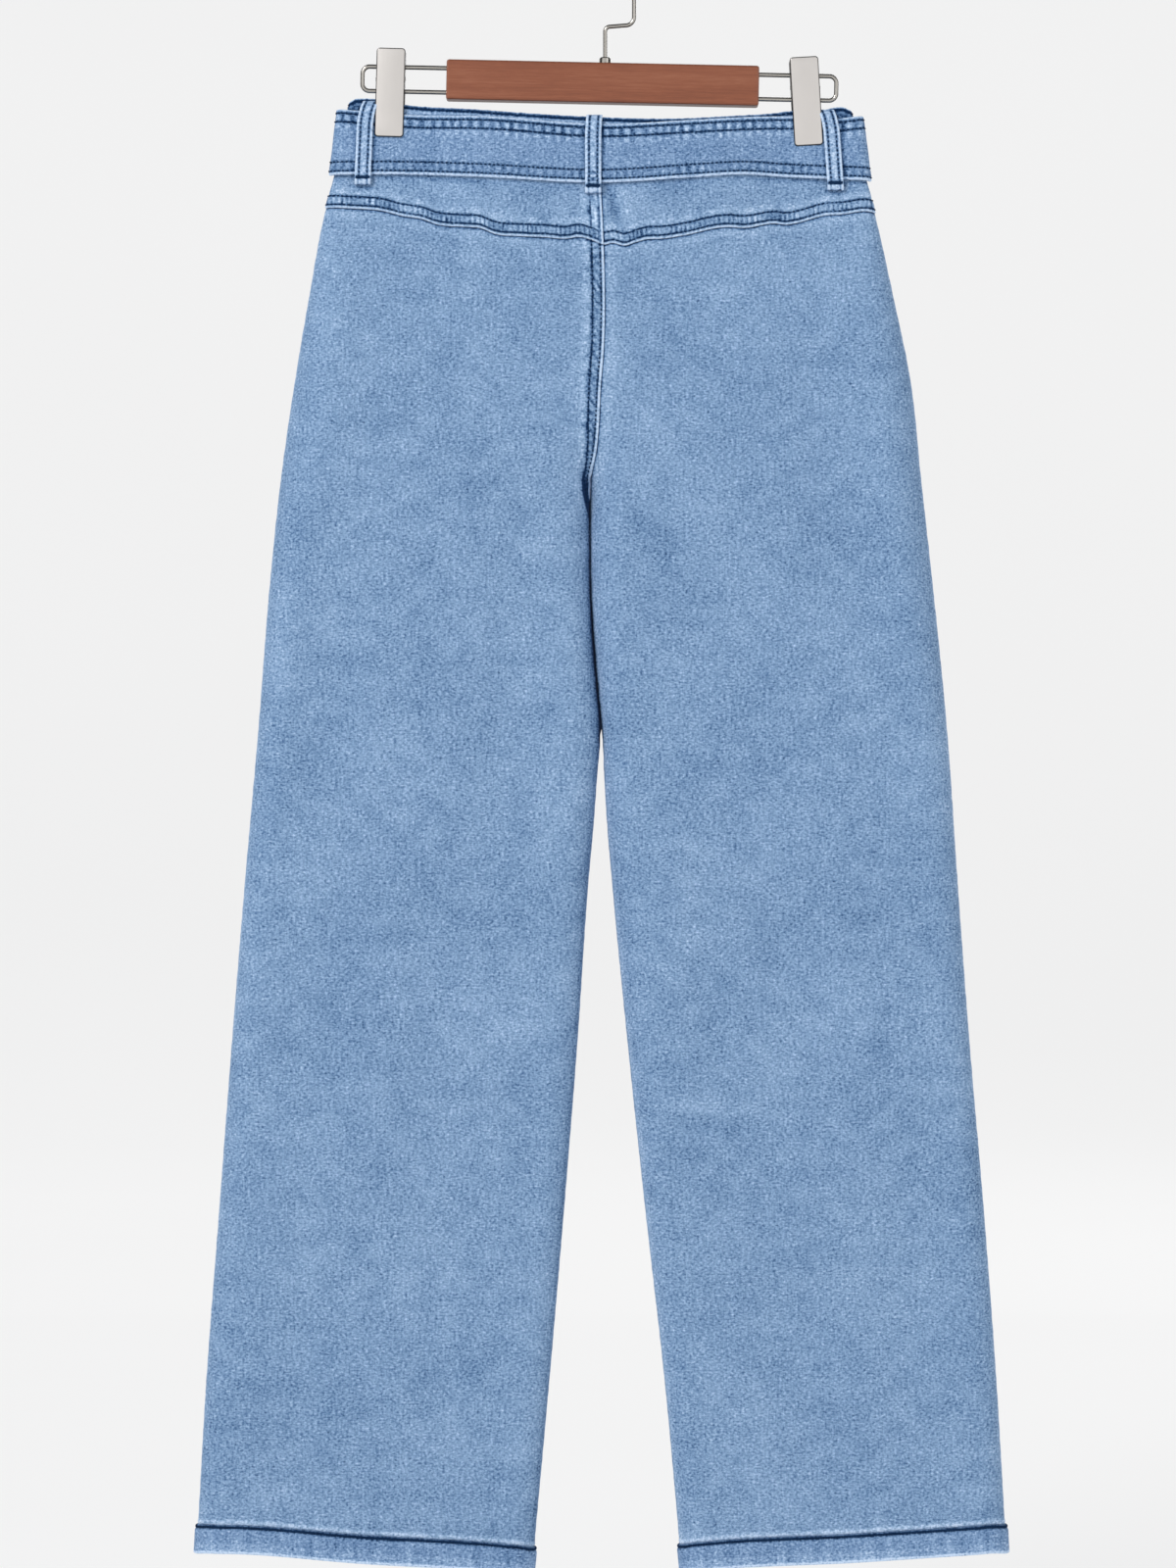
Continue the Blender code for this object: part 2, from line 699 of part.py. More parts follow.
def add_belt_and_loops():
    """The belt strip and the five loops that carry it."""
    wall("belt", belt_surface(BELT_LIFT), belt_surface(BELT_LIFT - BELT_WALL), DENIM_DARKER)
    for loop in LOOPS:
        outer = loop_surface(loop, LOOP_WALL)
        wall(loop.name, outer, loop_surface(loop, 0.0), DENIM)


def hook_x_in_bar(level):
    """Where the upright wire passes a level of the tilted bar, in the bar's own frame."""
    return (-BAR_X - level * sin(BAR_TILT)) / cos(BAR_TILT)


def add_bar(frame, cutters):
    """The wooden bar, bored for the hook and for the ends of both rails."""
    for sign in (-1, 1):
        for level in (-RAIL_HALF_GAP, RAIL_HALF_GAP):
            middle = (sign * (BAR_LENGTH / 2 - RAIL_SEAT / 2), 0.0, level)
            bore = rod("rail_bore", RAIL_RADIUS + GAP, RAIL_SEAT + 4, middle, (0, pi / 2, 0))
            cutter(bore, cutters, frame)
    seat = (hook_x_in_bar(HOOK_SEAT_LEVEL), 0.0, BAR_HEIGHT / 2)
    cutter(rod("hook_bore", HOOK_BORE, HOOK_SEAT, seat), cutters, frame)
    bar = block("hanger_bar", (BAR_LENGTH, BAR_DEPTH, BAR_HEIGHT), (0, 0, 0), BAR_EDGE)
    place(bar, WOOD, frame)
    cut = bar.modifiers.new("bores", "BOOLEAN")
    cut.operand_type = "COLLECTION"
    cut.collection = cutters
    cut.solver = "EXACT"
    bar.data.shade_smooth()
    bar.data.set_sharp_from_angle(angle=radians(30))


def add_rails(frame):
    """A loop of wire out of each end of the bar, where the clips slide."""
    for side, sign in (("left", -1), ("right", 1)):
        end = BAR_LENGTH / 2 + RAIL_REACH[side] - RAIL_RADIUS
        start = BAR_LENGTH / 2 - RAIL_SEAT + GAP
        corner = end - RAIL_CORNER
        level = RAIL_HALF_GAP - RAIL_CORNER
        path = [(start, RAIL_HALF_GAP)]
        path += bend(corner, level, RAIL_CORNER, pi / 2, 0, BEND_STEPS)
        path += bend(corner, -level, RAIL_CORNER, 0, -pi / 2, BEND_STEPS)
        path += [(start, -RAIL_HALF_GAP)]
        wire(f"rail_{side}", [(sign * x, z) for x, z in path], RAIL_RADIUS, STEEL, frame)


def add_hook():
    """The hook's wire and the collar at its foot."""
    jog = HOOK_JOG_Z
    path = [(0.0, HOOK_FOOT_Z)]
    path += bend(HOOK_BEND, jog - HOOK_BEND, HOOK_BEND, pi, pi / 2, BEND_STEPS)
    path += bend(HOOK_RADIUS - HOOK_BEND, jog + HOOK_BEND, HOOK_BEND, -pi / 2, 0, BEND_STEPS)
    path += bend(0.0, HOOK_CENTRE_Z, HOOK_RADIUS, 0, pi, HOOK_ARC_STEPS)
    path += [(-HOOK_RADIUS, HOOK_CENTRE_Z - HOOK_TAIL)]
    wire("hook", path, WIRE_RADIUS, STEEL)


def add_ferrule(frame):
    """The collar on top of the bar, a turned ring round the hook's wire."""
    foot = BAR_HEIGHT / 2 + GAP
    top = foot + FERRULE_HEIGHT
    profile = (
        (FERRULE_BORE, top),
        (FERRULE_RADIUS - FERRULE_EDGE, top),
        (FERRULE_RADIUS, top - FERRULE_EDGE),
        (FERRULE_RADIUS, foot),
        (FERRULE_BORE, foot),
    )
    data = bpy.data.meshes.new("ferrule")
    edges = [(i, (i + 1) % len(profile)) for i in range(len(profile))]
    data.from_pydata([(r * MM, 0.0, z * MM) for r, z in profile], edges, [])
    ferrule = place(bpy.data.objects.new("ferrule", data), STEEL, frame)
    ferrule.location.x = hook_x_in_bar((foot + top) / 2) * MM
    turned = ferrule.modifiers.new("turned", "SCREW")
    turned.steps = 24
    turned.render_steps = 24
    turned.merge_threshold = 0.00001


def add_clip(clip):
    """A clip: two pressed plates with flanges, and the spring between them."""
    lean = np.arctan2(clip.x_top - clip.x_foot, clip.z_top - clip.z_foot)
    middle = ((clip.x_top + clip.x_foot) / 2, (clip.z_top + clip.z_foot) / 2)
    frame = empty(f"clip_{clip.side}_frame", *middle, lean)
    top = CLIP_HEIGHT / 2
    for face, sign in FACES.items():
        depth = CLIP_INNER_Y + CLIP_PLATE - FLANGE_INNER_Y
        size = (CLIP_WIDTH, depth, CLIP_HEIGHT)
        centre = (0, sign * (FLANGE_INNER_Y + depth / 2), 0)
        plate = block(f"clip_{clip.side}_{face}_plate", size, centre, CLIP_EDGE)
        jaw_size = (2 * CLIP_WIDTH, 2 * depth, CLIP_HEIGHT)
        jaw_z = top - FLANGE_HEIGHT - CLIP_HEIGHT / 2
        cut(plate, block("jaw", jaw_size, (0, sign * (CLIP_INNER_Y - depth), jaw_z)))
        pocket = (CLIP_WIDTH - 2 * FLANGE_WALL, 2 * depth, FLANGE_HEIGHT)
        pocket_y = sign * (CLIP_INNER_Y + CLIP_PLATE - FLANGE_WALL - depth)
        pocket_z = top - FLANGE_WALL - pocket[2] / 2
        cut(plate, block("pocket", pocket, (0, pocket_y, pocket_z)))
        place(plate, NICKEL, frame)
    rail_level = BAR_Z - (clip.x_top - BAR_X) * sin(BAR_TILT)
    turn = (0.0, pi / 2, 0.0)
    level = rail_level - middle[1]
    name = f"clip_{clip.side}_spring"
    spring = rod(name, SPRING_RADIUS, SPRING_LENGTH, (0, 0, level), turn)
    pin = rod("pin", PIN_RADIUS, CLIP_WIDTH + 1.0, (0, 0, level), turn)
    combine(spring, pin, "UNION")
    place(spring, STEEL, frame)


def combine(piece, other, operation):
    """Unites another solid with a piece, or cuts it out of it, and removes it."""
    change = piece.modifiers.new("combined", "BOOLEAN")
    change.operation = operation
    change.solver = "EXACT"
    change.object = other
    bpy.context.view_layer.objects.active = piece
    for modifier in [modifier.name for modifier in piece.modifiers]:
        bpy.ops.object.modifier_apply(modifier=modifier)
    bpy.data.objects.remove(other, do_unlink=True)


def cut(piece, other):
    """Cuts another solid out of a piece."""
    combine(piece, other, "DIFFERENCE")


def add_collection(name):
    """A collection of the scene, made once."""
    new = bpy.data.collections.new(name)
    bpy.context.scene.collection.children.link(new)
    return new


def main():
    for old in list(bpy.data.objects):
        bpy.data.objects.remove(old, do_unlink=True)
    add_collection(COLLECTION)
    cutters = add_collection("cutters")
    add_cloth()
    add_belt_and_loops()
    bar_frame = empty("bar_frame", BAR_X, BAR_Z, BAR_TILT)
    add_bar(bar_frame, cutters)
    add_rails(bar_frame)
    add_ferrule(bar_frame)
    add_hook()
    for clip in CLIPS:
        add_clip(clip)


main()
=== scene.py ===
"""The looks of wide leg jeans that hang by their waist from a wooden clip hanger.

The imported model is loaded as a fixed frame, and each piece of cloth is made again as a fine
shell on the same lines, with its seams, its stitches and its rubbed edges.  The back of the
jeans faces -Y, and +Z is up.  Lengths and tables are in millimetres, as in the part's source,
and each mesh is scaled to metres where it is made.
"""

from collections import namedtuple
from functools import partial
from math import cos, pi, radians, sin

import bpy
import numpy as np
from bpy.props import FloatProperty, FloatVectorProperty, IntProperty, PointerProperty
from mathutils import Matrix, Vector


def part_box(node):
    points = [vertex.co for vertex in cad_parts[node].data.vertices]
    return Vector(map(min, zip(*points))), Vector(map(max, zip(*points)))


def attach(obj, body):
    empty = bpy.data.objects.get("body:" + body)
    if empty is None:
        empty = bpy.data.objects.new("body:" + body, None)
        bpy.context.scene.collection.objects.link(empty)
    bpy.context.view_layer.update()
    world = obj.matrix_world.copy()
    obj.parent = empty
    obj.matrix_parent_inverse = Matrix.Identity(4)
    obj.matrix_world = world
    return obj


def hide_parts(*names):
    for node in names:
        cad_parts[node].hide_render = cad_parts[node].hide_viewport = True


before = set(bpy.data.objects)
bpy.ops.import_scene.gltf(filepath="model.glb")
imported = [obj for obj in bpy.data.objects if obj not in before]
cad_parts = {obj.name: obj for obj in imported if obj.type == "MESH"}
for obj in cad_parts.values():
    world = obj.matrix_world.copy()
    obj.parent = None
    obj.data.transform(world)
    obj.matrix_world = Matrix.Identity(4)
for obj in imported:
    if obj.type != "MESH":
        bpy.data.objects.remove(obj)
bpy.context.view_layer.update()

bl_info = {
    "name": "Wide leg jeans on a clip hanger",
    "version": (1, 0, 0),
    "blender": (4, 5, 0),
    "location": "3D Viewport > Sidebar > Jeans",
    "description": "Cloth, stitching, hanger and studio for a pair of wide leg jeans",
    "category": "Add Mesh",
}


class Line:
    """A smooth line through a table's rows that runs on straight past its ends."""

    def __init__(self, places, values):
        order = np.argsort(places)
        self.places, self.values = places[order], values[order]
        self.slopes = np.gradient(self.values, self.places)

    def __call__(self, place):
        place = np.asarray(place, float)
        inside = np.clip(place, self.places[0], self.places[-1])
        row = np.clip(np.searchsorted(self.places, inside) - 1, 0, len(self.places) - 2)
        step = self.places[row + 1] - self.places[row]
        share = (inside - self.places[row]) / step
        rise = share * share * (3 - 2 * share)
        start_pull = share * (1 - share) ** 2 * step * self.slopes[row]
        end_pull = share * share * (share - 1) * step * self.slopes[row + 1]
        value = self.values[row] * (1 - rise) + self.values[row + 1] * rise
        run_on = (place - inside) * np.where(place > inside, self.slopes[-1], self.slopes[0])
        return value + start_pull + end_pull + run_on


def table(columns, *rows):
    """A short table with named columns."""
    row = namedtuple("row", columns)
    return [row(*values) for values in rows]


def lines(columns, *rows):
    """A Line for each named column of a table after its first, which says where they are."""
    places, *values = np.array(rows, float).T
    return {name: Line(places, column) for name, column in zip(columns.split()[1:], values)}


MM = 0.001
BODY_NAME = "root"
UV_NAME = "cloth"
SIDES = ("left", "right")
FACES = {"back": -1.0, "front": 1.0}

# Cloth thicknesses and the room left between pieces.
GAP = 0.3
PANEL_WALL = 1.5
YOKE_WALL = 2.0
WAISTBAND_WALL = 2.4
BELT_WALL = 2.2
LOOP_WALL = 2.0
HEM_WALL = 3.0
FLY_WALL = 1.5

# How far an outer face stands out from the outer face of the leg panels.
YOKE_LIFT = YOKE_WALL - PANEL_WALL
WAISTBAND_LIFT = WAISTBAND_WALL - PANEL_WALL
BELT_LIFT = WAISTBAND_LIFT + 0.5 + BELT_WALL
HEM_LIFT = 1.2

# Rounding of the tube's side folds and of the saddle at the crotch.
ROLL_PER_DEPTH = 1.3
BELT_ROLL = 12.0
CROTCH_Z = -380.0
SADDLE_HEIGHT = 60.0

# Each level of the flat tube: its side folds, and the depth of its back and its front.
BODY = lines(
    "z left right back front",
    (-108, -181.7, 173.6, 6, 6), (-160, -192.4, 184.8, 8.2, 8.2), (-190, -200.3, 192.6, 11, 10.5),
    (-250, -211.5, 206, 16, 14), (-310, -221.6, 218.2, 20, 16), (-380, -231.6, 225.7, 21, 16),
    (-450, -239, 233.4, 19, 16), (-560, -247.8, 244.3, 17, 15.5), (-670, -257.5, 251.9, 16, 15),
    (-780, -266.4, 260.1, 15, 14.5), (-900, -275.5, 270.3, 14.5, 14),
    (-1020, -284.6, 279.2, 14, 14), (-1150, -292, 286.8, 14, 14),
)
# The folded inner edge of each leg, from the crotch down.
LEG = lines(
    "z left right",
    (-380, -10.55, -10.45), (-420, -10.8, -10.7), (-460, -10.3, -10.2), (-500, -7.9, -7.8),
    (-530, -5.4, -5.3), (-552, -3.3, -3.1), (-566, -3.6, -1.8), (-590, -5.6, -0.7),
    (-620, -7.8, 1), (-670, -12.2, 5.2), (-780, -19.7, 15.9), (-900, -29.3, 28.6),
    (-1020, -39.6, 42.2), (-1150, -51.5, 54.2),
)
# The seam between the left and the right half, on the back and on the front.
SEAM = lines(
    "z back front",
    (-110, -6.5, -3), (-170, -3.2, -3), (-210, -1.2, -3), (-290, -1.1, -4.2), (-315, -3.1, -5.4),
    (-345, -4.6, -8), (-360, -6.1, -9.3), (-380, -10.5, -10.5),
)
# Edges that run across the garment, as heights at places along X.
WAISTBAND_TOP = lines(
    "x back front",
    (-183, -110.2, -111.5), (-179, -108.3, -110), (-173, -107.7, -109), (-142, -112.4, -113.5),
    (-96, -115.8, -120), (-76, -117.3, -122.3), (-50, -119.2, -125.8), (-15, -121.2, -130.5),
    (58, -122.5, -130), (94, -120.4, -125.4), (119, -118.4, -122), (133, -116.6, -118.5),
    (154, -116.3, -116.3), (162, -114.6, -115), (169, -113.8, -115), (174, -115.6, -116.6),
)
WAIST_SEAM = lines(
    "x back front",
    (-193, -158, -158), (-142, -157, -158), (-82, -160, -164), (-3, -164.5, -172.5),
    (58, -161.5, -171), (102, -158.5, -166), (131, -159.5, -162), (186, -161, -161),
)
BELT_TOP = lines(
    "x back front",
    (-192, -115.5, -115.5), (-142, -119.7, -120.5), (-82, -121.6, -127), (-3, -127, -135),
    (65, -123.9, -134.5), (131, -120.9, -124.5), (166, -122.5, -122.5), (186, -120, -120),
)
BELT_FOOT = lines(
    "x back front",
    (-197, -162.7, -161.7), (-142, -162.4, -162), (-82, -165.2, -168.5), (-3, -169, -176.5),
    (65, -165, -174), (102, -162.8, -169), (131, -164.3, -166), (189, -166.8, -165.1),
)
# The seam under the back yoke, which the stitching has drawn into small waves.
YOKE_SEAM = lines(
    "x z",
    (-199.5, -186.1), (-180.2, -187), (-160.4, -188.4), (-144.1, -192.5), (-128.9, -195.2),
    (-120.8, -198.4), (-113.8, -199.8), (-99.8, -200.7), (-88.1, -201.9), (-79.5, -205.5),
    (-58.9, -207.5), (-41.4, -208.3), (-28, -209.3), (-18.1, -208), (-8.8, -210.6),
    (-1.5, -213.5), (5.3, -212.4), (14, -214.3), (21.6, -211.8), (28.6, -209.8), (40.3, -209.2),
    (57.8, -206.5), (79.9, -201.5), (88, -200.8), (98.6, -201.3), (121.9, -197.8),
    (128.9, -198.7), (134.8, -197.8), (156.9, -191.9), (168.6, -191.1), (186.1, -189),
    (194.3, -189.8),
)["z"]
# The foot of the hems, the same on both faces.
HEM_FOOT = lines(
    "x z",
    (-293, -1145.8), (-284, -1144.4), (-272, -1144.3), (-172, -1151.4), (-72, -1157.7),
    (-61, -1158.9), (-52, -1161.2), (54, -1159.6), (63, -1157.2), (75, -1155.9), (175, -1150.7),
    (264, -1144.9), (276, -1144.1), (287, -1145.6),
)["z"]
HEM_HEIGHT = 20.5

# How far the front's inner edges lie to one side of the back's, where the legs touch, so that
# no light comes through between them.
FRONT_LAP = 0.8
LAP_FOOT_Z = -562.0

# The belt's own side folds, and its two ends on the front.
BELT = lines("z left right", (-115.5, -192, 184), (-163, -197.6, 190))
BELT_START_X = 14.0
BELT_END_X = -124.0
BELT_RAMP = 16.0

# The loops: the top and foot of each strip's middle, and how far its top curls aside.
LOOPS = table(
    "name face x_top z_top x_foot z_foot layers curl",
    ("loop_back_left", "back", -170.5, -109.8, -173, -169.9, 1, 3.6),
    ("loop_back_centre", "back", -8.6, -120.4, -8.6, -176.8, 1, 1),
    ("loop_back_right", "back", 160.2, -116, 164.4, -173.9, 1, -2.8),
    ("loop_front_left", "front", -98, -118.8, -98, -174.5, 2, 1.5),
    ("loop_front_right", "front", 90, -124.4, 90, -177.5, 1, -1.5),
)
LOOP_WIDTH = 11.5
LOOP_RAMP = 5.0
LOOP_SLACK = 0.5
LOOP_CURL = 0.32
LOOP_TACK = 5.2

# The flap over the zip.
FLY_WIDTH = 36.0
FLY_LAP = 3.0
FLY_TOP_CLEARANCE = 6.5
FLY_TOP_Z = -173.0
FLY_FOOT_Z = -335.0
FLY_CURVE = 50.0
FLY_TIP = 5.0

# Soft folds of the legs: a ridge or a trough from one point to another.
FOLD = "x_top z_top x_foot z_foot half_width height"
FOLDS = {
    "back": table(
        FOLD,
        (-182, -205, -203, -430, 30, 2.2), (-44, -350, -84, -700, 46, -2.4),
        (-196, -450, -204, -640, 40, -2.2), (-150, -640, -168, -880, 46, 2.4),
        (-118, -820, -100, -1100, 50, -2.2), (-238, -820, -252, -1120, 34, 1.8),
        (143, -230, 178, -520, 44, -2.6), (196, -280, 222, -560, 32, 1.8),
        (44, -600, 56, -840, 34, 2.6), (126, -640, 150, -860, 46, -2.6),
        (214, -820, 226, -1080, 42, -2.2), (126, -940, 166, -1140, 48, -2.6),
    ),
    "front": table(
        FOLD,
        (-120, -330, -150, -700, 54, -2.4), (-200, -420, -214, -760, 38, 2),
        (-96, -700, -112, -1080, 46, 2.4), (-214, -800, -228, -1110, 44, -2.2),
        (96, -300, 132, -660, 52, -2.4), (190, -400, 212, -720, 40, 2),
        (76, -620, 92, -980, 40, 2.2), (180, -720, 206, -1100, 50, -2.6),
    ),
}
# Small creases that only show in a low light: a soft line from one point to another.
CREASE = "x_start z_start x_end z_end half_width height"
CREASES = {
    "back": table(
        CREASE,
        (-2.5, -162, 10, -209, 2.8, -1.1), (4.5, -166, 20, -206, 6, 0.7),
        (-17.5, -362, -10.6, -414, 3.4, -0.9), (30, -172, 66, -178, 5, -0.4),
        (-18, -196, -48, -176, 6, 0.5), (150, -196, 176, -176, 7, 0.6),
        (-128, -197, -150, -178, 7, 0.5), (2, -640, 92, -650, 5, 0.5),
        (20, -826, 118, -838, 7, 0.5), (40, -838, 128, -856, 9, -0.5),
        (-16, -520, -70, -560, 8, -0.6), (-12, -590, -52, -640, 7, 0.5),
        (-30, -760, -110, -778, 8, 0.4), (-60, -1000, -160, -1012, 9, -0.4),
        (4, -396, 60, -446, 8, -0.7), (-16, -398, -74, -440, 8, 0.6),
    ),
    "front": table(
        CREASE,
        (4, -400, 70, -452, 8, -0.7), (-16, -402, -80, -446, 8, 0.6),
        (-40, -660, -120, -672, 7, 0.5), (60, -800, 150, -816, 8, -0.5),
        (80, -980, 170, -990, 8, 0.4),
    ),
}

# Where each clip presses front and back together.
CLIPS = table(
    "side x_top x_foot z_top z_foot",
    ("left", -152.5, -154.2, -72.3, -135.8), ("right", 141.6, 145.2, -79.1, -141.4),
)
CLIP_FLAT = 18.0
HOLD_REACH = 52.0
HOLD_MARGIN = 6.0
HOLD_FADE = 95.0
HELD_DEPTH = PANEL_WALL + 0.6
CLIP_WIDTH = 20.5
CLIP_HEIGHT = 63.5
CLIP_PLATE = 1.1
CLIP_FACE_Y = 7.2
CLIP_CORNER = 2.4
CLIP_EDGE = 1.0
FLANGE_HEIGHT = 32.0
FLANGE_FOOT_Y = 1.9
PIN_RADIUS = 1.3
SPRING_SIZES = {"Radius": 0.0044, "Width": 0.0125, "Wire": 0.00085}

# The wooden bar and the wires that it carries.
BAR_X = -1.8
BAR_Z = -96.8
BAR_TILT = radians(1.2)
BAR_LENGTH = 223.0
BAR_HEIGHT = 28.5
RAIL_RADIUS = 1.6
RAIL_HALF_GAP = 8.7
RAIL_CORNER = 5.0
RAIL_SEAT = 10.0
RAIL_REACH = {"left": 61.6, "right": 57.0}
WIRE_RADIUS = 1.5
HOOK_RADIUS = 20.65
HOOK_CENTRE_Z = WIRE_RADIUS - HOOK_RADIUS
HOOK_JOG_Z = -55.65
HOOK_BENDS = (3.4, 6.0)
HOOK_RISE = 0.9
HOOK_TAIL = 13.0
HOOK_FOOT_Z = -92.0

# Where the rows of stitches run, as distances from an edge, and how high they lie.
BELT_TOP_ROWS = (2.8, 8.9)
BELT_FOOT_ROWS = (2.7, 9.1)
YOKE_ROWS = (2.4, 8.7)
CENTRE_ROW = 2.5
WAISTBAND_ROW = 2.0
LOOP_ROW = 2.8
HEM_ROW = 1.3
FLY_ROWS = (3.2, 8.6)
ROW_LIFT = 0.05

# The width of the band of the centre back seam, which closes towards the crotch.
BAND_WIDTH = lines(
    "z width",
    (-404, 0.4), (-383, 4.6), (-371, 5.2), (-359, 6.4), (-345, 7.6), (-300, 8.4), (-160, 8.2),
)["width"]
BAND_FOOT_Z = -404.0
BAND_ROWS_FOOT_Z = -398.0
BAND_YOKE_Z = -214.0

# The camera and the studio, in metres.
CAMERA_PLACE = (-0.01225, -3.0, -0.597)
CAMERA_LENS = 96.43
AIM = (0.0, 0.0, -0.6)
LAMPS = table("name place size", ("key", (-2.4, -3.2, 2.4), 1.2), ("fill", (3.0, -2.8, 0.2), 2.4),
              ("rear", (1.4, 3.8, 1.6), 2.6))
FLOOR_RADIUS = 7.0
FLOOR_BEND = 2.2
FLOOR_HEIGHT = 5.0
FLOOR_Z = -1.30
FLOOR_TURNS = 96
# Black cards round the object, which only its metal reflects: the dark lines along wires.
CARDS = {
    "card_left": ((-3.0, -1.2, -1.2), (-3.0, 2.6, -1.2), (-3.0, 2.6, 1.6), (-3.0, -1.2, 1.6)),
    "card_right": ((3.0, -1.2, -1.2), (3.0, 2.6, -1.2), (3.0, 2.6, 1.6), (3.0, -1.2, 1.6)),
    "card_above": ((-3.0, -1.2, 1.6), (3.0, -1.2, 1.6), (3.0, 2.6, 1.6), (-3.0, 2.6, 1.6)),
    "card_below": ((-3.0, -1.0, -1.27), (3.0, -1.0, -1.27), (3.0, 2.6, -1.27),
                   (-3.0, 2.6, -1.27)),
}


# --- shapes that repeat ---------------------------------------------------------------

def ease(share):
    """0 to 1 with a soft start and a soft end."""
    share = np.clip(share, 0.0, 1.0)
    return share * share * (3 - 2 * share)


def near(distance, reach, soft):
    """1 as far as a reach from an edge, and 0 past a soft end."""
    return 1 - ease((distance - reach) / soft)


def rounded(share):
    """The height of a quarter circle at a share of the way in from its edge."""
    return np.sqrt(1 - (1 - np.clip(share, 0.0, 1.0)) ** 2)


def bell(distance, width):
    """1 at a line, and down to 0 on both sides of it."""
    return np.exp(-((distance / width) ** 2))


def window(place, start, end, soft):
    """1 from start to end, with soft edges inside them."""
    return ease((place - start) / soft) * ease((end - place) / soft)


def uneven(place, period, seed):
    """A wave of about a period that never quite repeats, from -1 to 1."""
    turn = 2 * pi * np.asarray(place, float) / period
    waves = np.sin(turn + seed) + np.sin(turn * 0.73 + 2.1 * seed) + np.sin(turn * 1.37 - seed)
    return waves / 2.4


def blocks(place, period, seed):
    """Rubbed and unrubbed squares along a row of stitches, from -1 to 1."""
    turn = 2 * pi * np.asarray(place, float) / period + 1.2 * uneven(place, 7.3 * period, seed)
    size = 0.72 + 0.28 * uneven(place, 4.1 * period, seed + 2.0)
    return np.tanh(2.6 * np.sin(turn)) * size


def held(x, z):
    """1 where a clip presses front and back together, down to 0 where they are free."""
    return np.max([near(abs(x - clip.x_foot), CLIP_FLAT, HOLD_REACH)
                   * near(clip.z_foot - z, HOLD_MARGIN, HOLD_FADE) for clip in CLIPS], axis=0)


def folded(x, z, face):
    """The height that the soft folds add to a face."""
    height = 0.0
    for fold in FOLDS[face]:
        along = (fold.z_top - z) / (fold.z_top - fold.z_foot)
        middle = fold.x_top + (fold.x_foot - fold.x_top) * along
        aside = np.clip((x - middle) / fold.half_width, -1, 1)
        fade = np.clip(4 * along * (1 - along), 0, 1)
        height = height + fold.height * fade * np.cos(aside * pi / 2) ** 2
    return height


def creased(x, z, face):
    """The height that the small creases add to a face."""
    height = 0.0
    for crease in CREASES[face]:
        run = np.array((crease.x_end - crease.x_start, crease.z_end - crease.z_start))
        length = np.hypot(*run)
        ahead = ((x - crease.x_start) * run[0] + (z - crease.z_start) * run[1]) / length
        aside = ((z - crease.z_start) * run[0] - (x - crease.x_start) * run[1]) / length
        bow = 0.06 * length * np.sin(pi * np.clip(ahead / length, 0, 1))
        fade = ease(ahead / (0.35 * length)) * ease((length - ahead) / (0.5 * length))
        height = height + crease.height * fade * bell(aside - bow, crease.half_width)
    return height


def full_depth(x, z, face):
    """The depth of a face before its edges are rounded off."""
    depth = BODY[face](z)
    return depth - held(x, z) * (depth - HELD_DEPTH) + folded(x, z, face)


def roll(z, face, inset):
    """The width over which a side fold of the body rounds off."""
    return ROLL_PER_DEPTH * BODY[face](z) - inset


def seam_edges(z, face, inset):
    """The inner edges of the left and right halves: a seam above the crotch, folds below."""
    above = z > CROTCH_Z + inset
    lap = FRONT_LAP * window(z, LAP_FOOT_Z, CROTCH_Z + 4, 6) * (face == "front")
    return [np.where(above, SEAM[face](z) + out * GAP / 2, LEG[side](z) + lap + out * inset)
            for side, out in zip(SIDES, (-1, 1))]


def half_edges(x, z, face, side, inset):
    """How far each point of a half is from its inner edge and from its side fold."""
    left, right = seam_edges(z, face, inset)
    if side == "left":
        return left - x, x - BODY["left"](z) - inset
    return x - right, BODY["right"](z) - inset - x


def body_y(x, z, face, side, inset, join=GAP / 2):
    """Y of the cloth moved in by an inset.  Side is the half it's on, or None for both."""
    width = roll(z, face, inset)
    to_fold = np.minimum(x - BODY["left"](z), BODY["right"](z) - x) - inset
    shape = rounded(to_fold / width)
    if side:
        to_edge = half_edges(x, z, face, side, inset)[0]
        rise = (z - CROTCH_Z - inset) / (SADDLE_HEIGHT - inset)
        shape = shape * rounded(np.hypot(to_edge / width, np.maximum(rise, 0)))
    return FACES[face] * (join + (full_depth(x, z, face) - inset - join) * shape)


def between(top, foot, share):
    """Heights at shares of the way down from a top line to a foot line."""
    return top * (1 - share) + foot * share


def stations(length, cell, arc=12, start_arc=True, end_arc=True):
    """Columns across a panel: shares of its two edges, and of its two roundings."""
    turned = [1 - cos(pi / 2 * step / arc) for step in range(arc)]
    rows = [(1, 0, turn, 0) for turn in turned] if start_arc else []
    for share in np.linspace(0, 1, max(2, round(length / cell)) + 1):
        rows.append((1 - share, share, start_arc * (1 - share), end_arc * share))
    if end_arc:
        rows += [(0, 1, 0, turn) for turn in reversed(turned)]
    return np.array(rows, float).T


def across(columns, start, end, width):
    """X of each column between a start edge and an end edge."""
    near_start, near_end, from_start, from_end = columns
    return near_start * start + near_end * end + (from_start - from_end) * width


def rows_down(height, cell, fine=1.0, top_reach=0.0, foot_reach=0.0):
    """Rows of a band, close together near its edges: a share of its height, and an offset."""
    rows = [(0.0, -reach) for reach in np.arange(0, top_reach, fine)]
    count = max(1, round((height - top_reach - foot_reach) / cell))
    for share in np.linspace(0, 1, count + 1):
        rows.append((share, foot_reach * share - top_reach * (1 - share)))
    rows += [(1.0, reach) for reach in np.arange(0, foot_reach, fine)[::-1]]
    return np.array(rows).T[..., None]


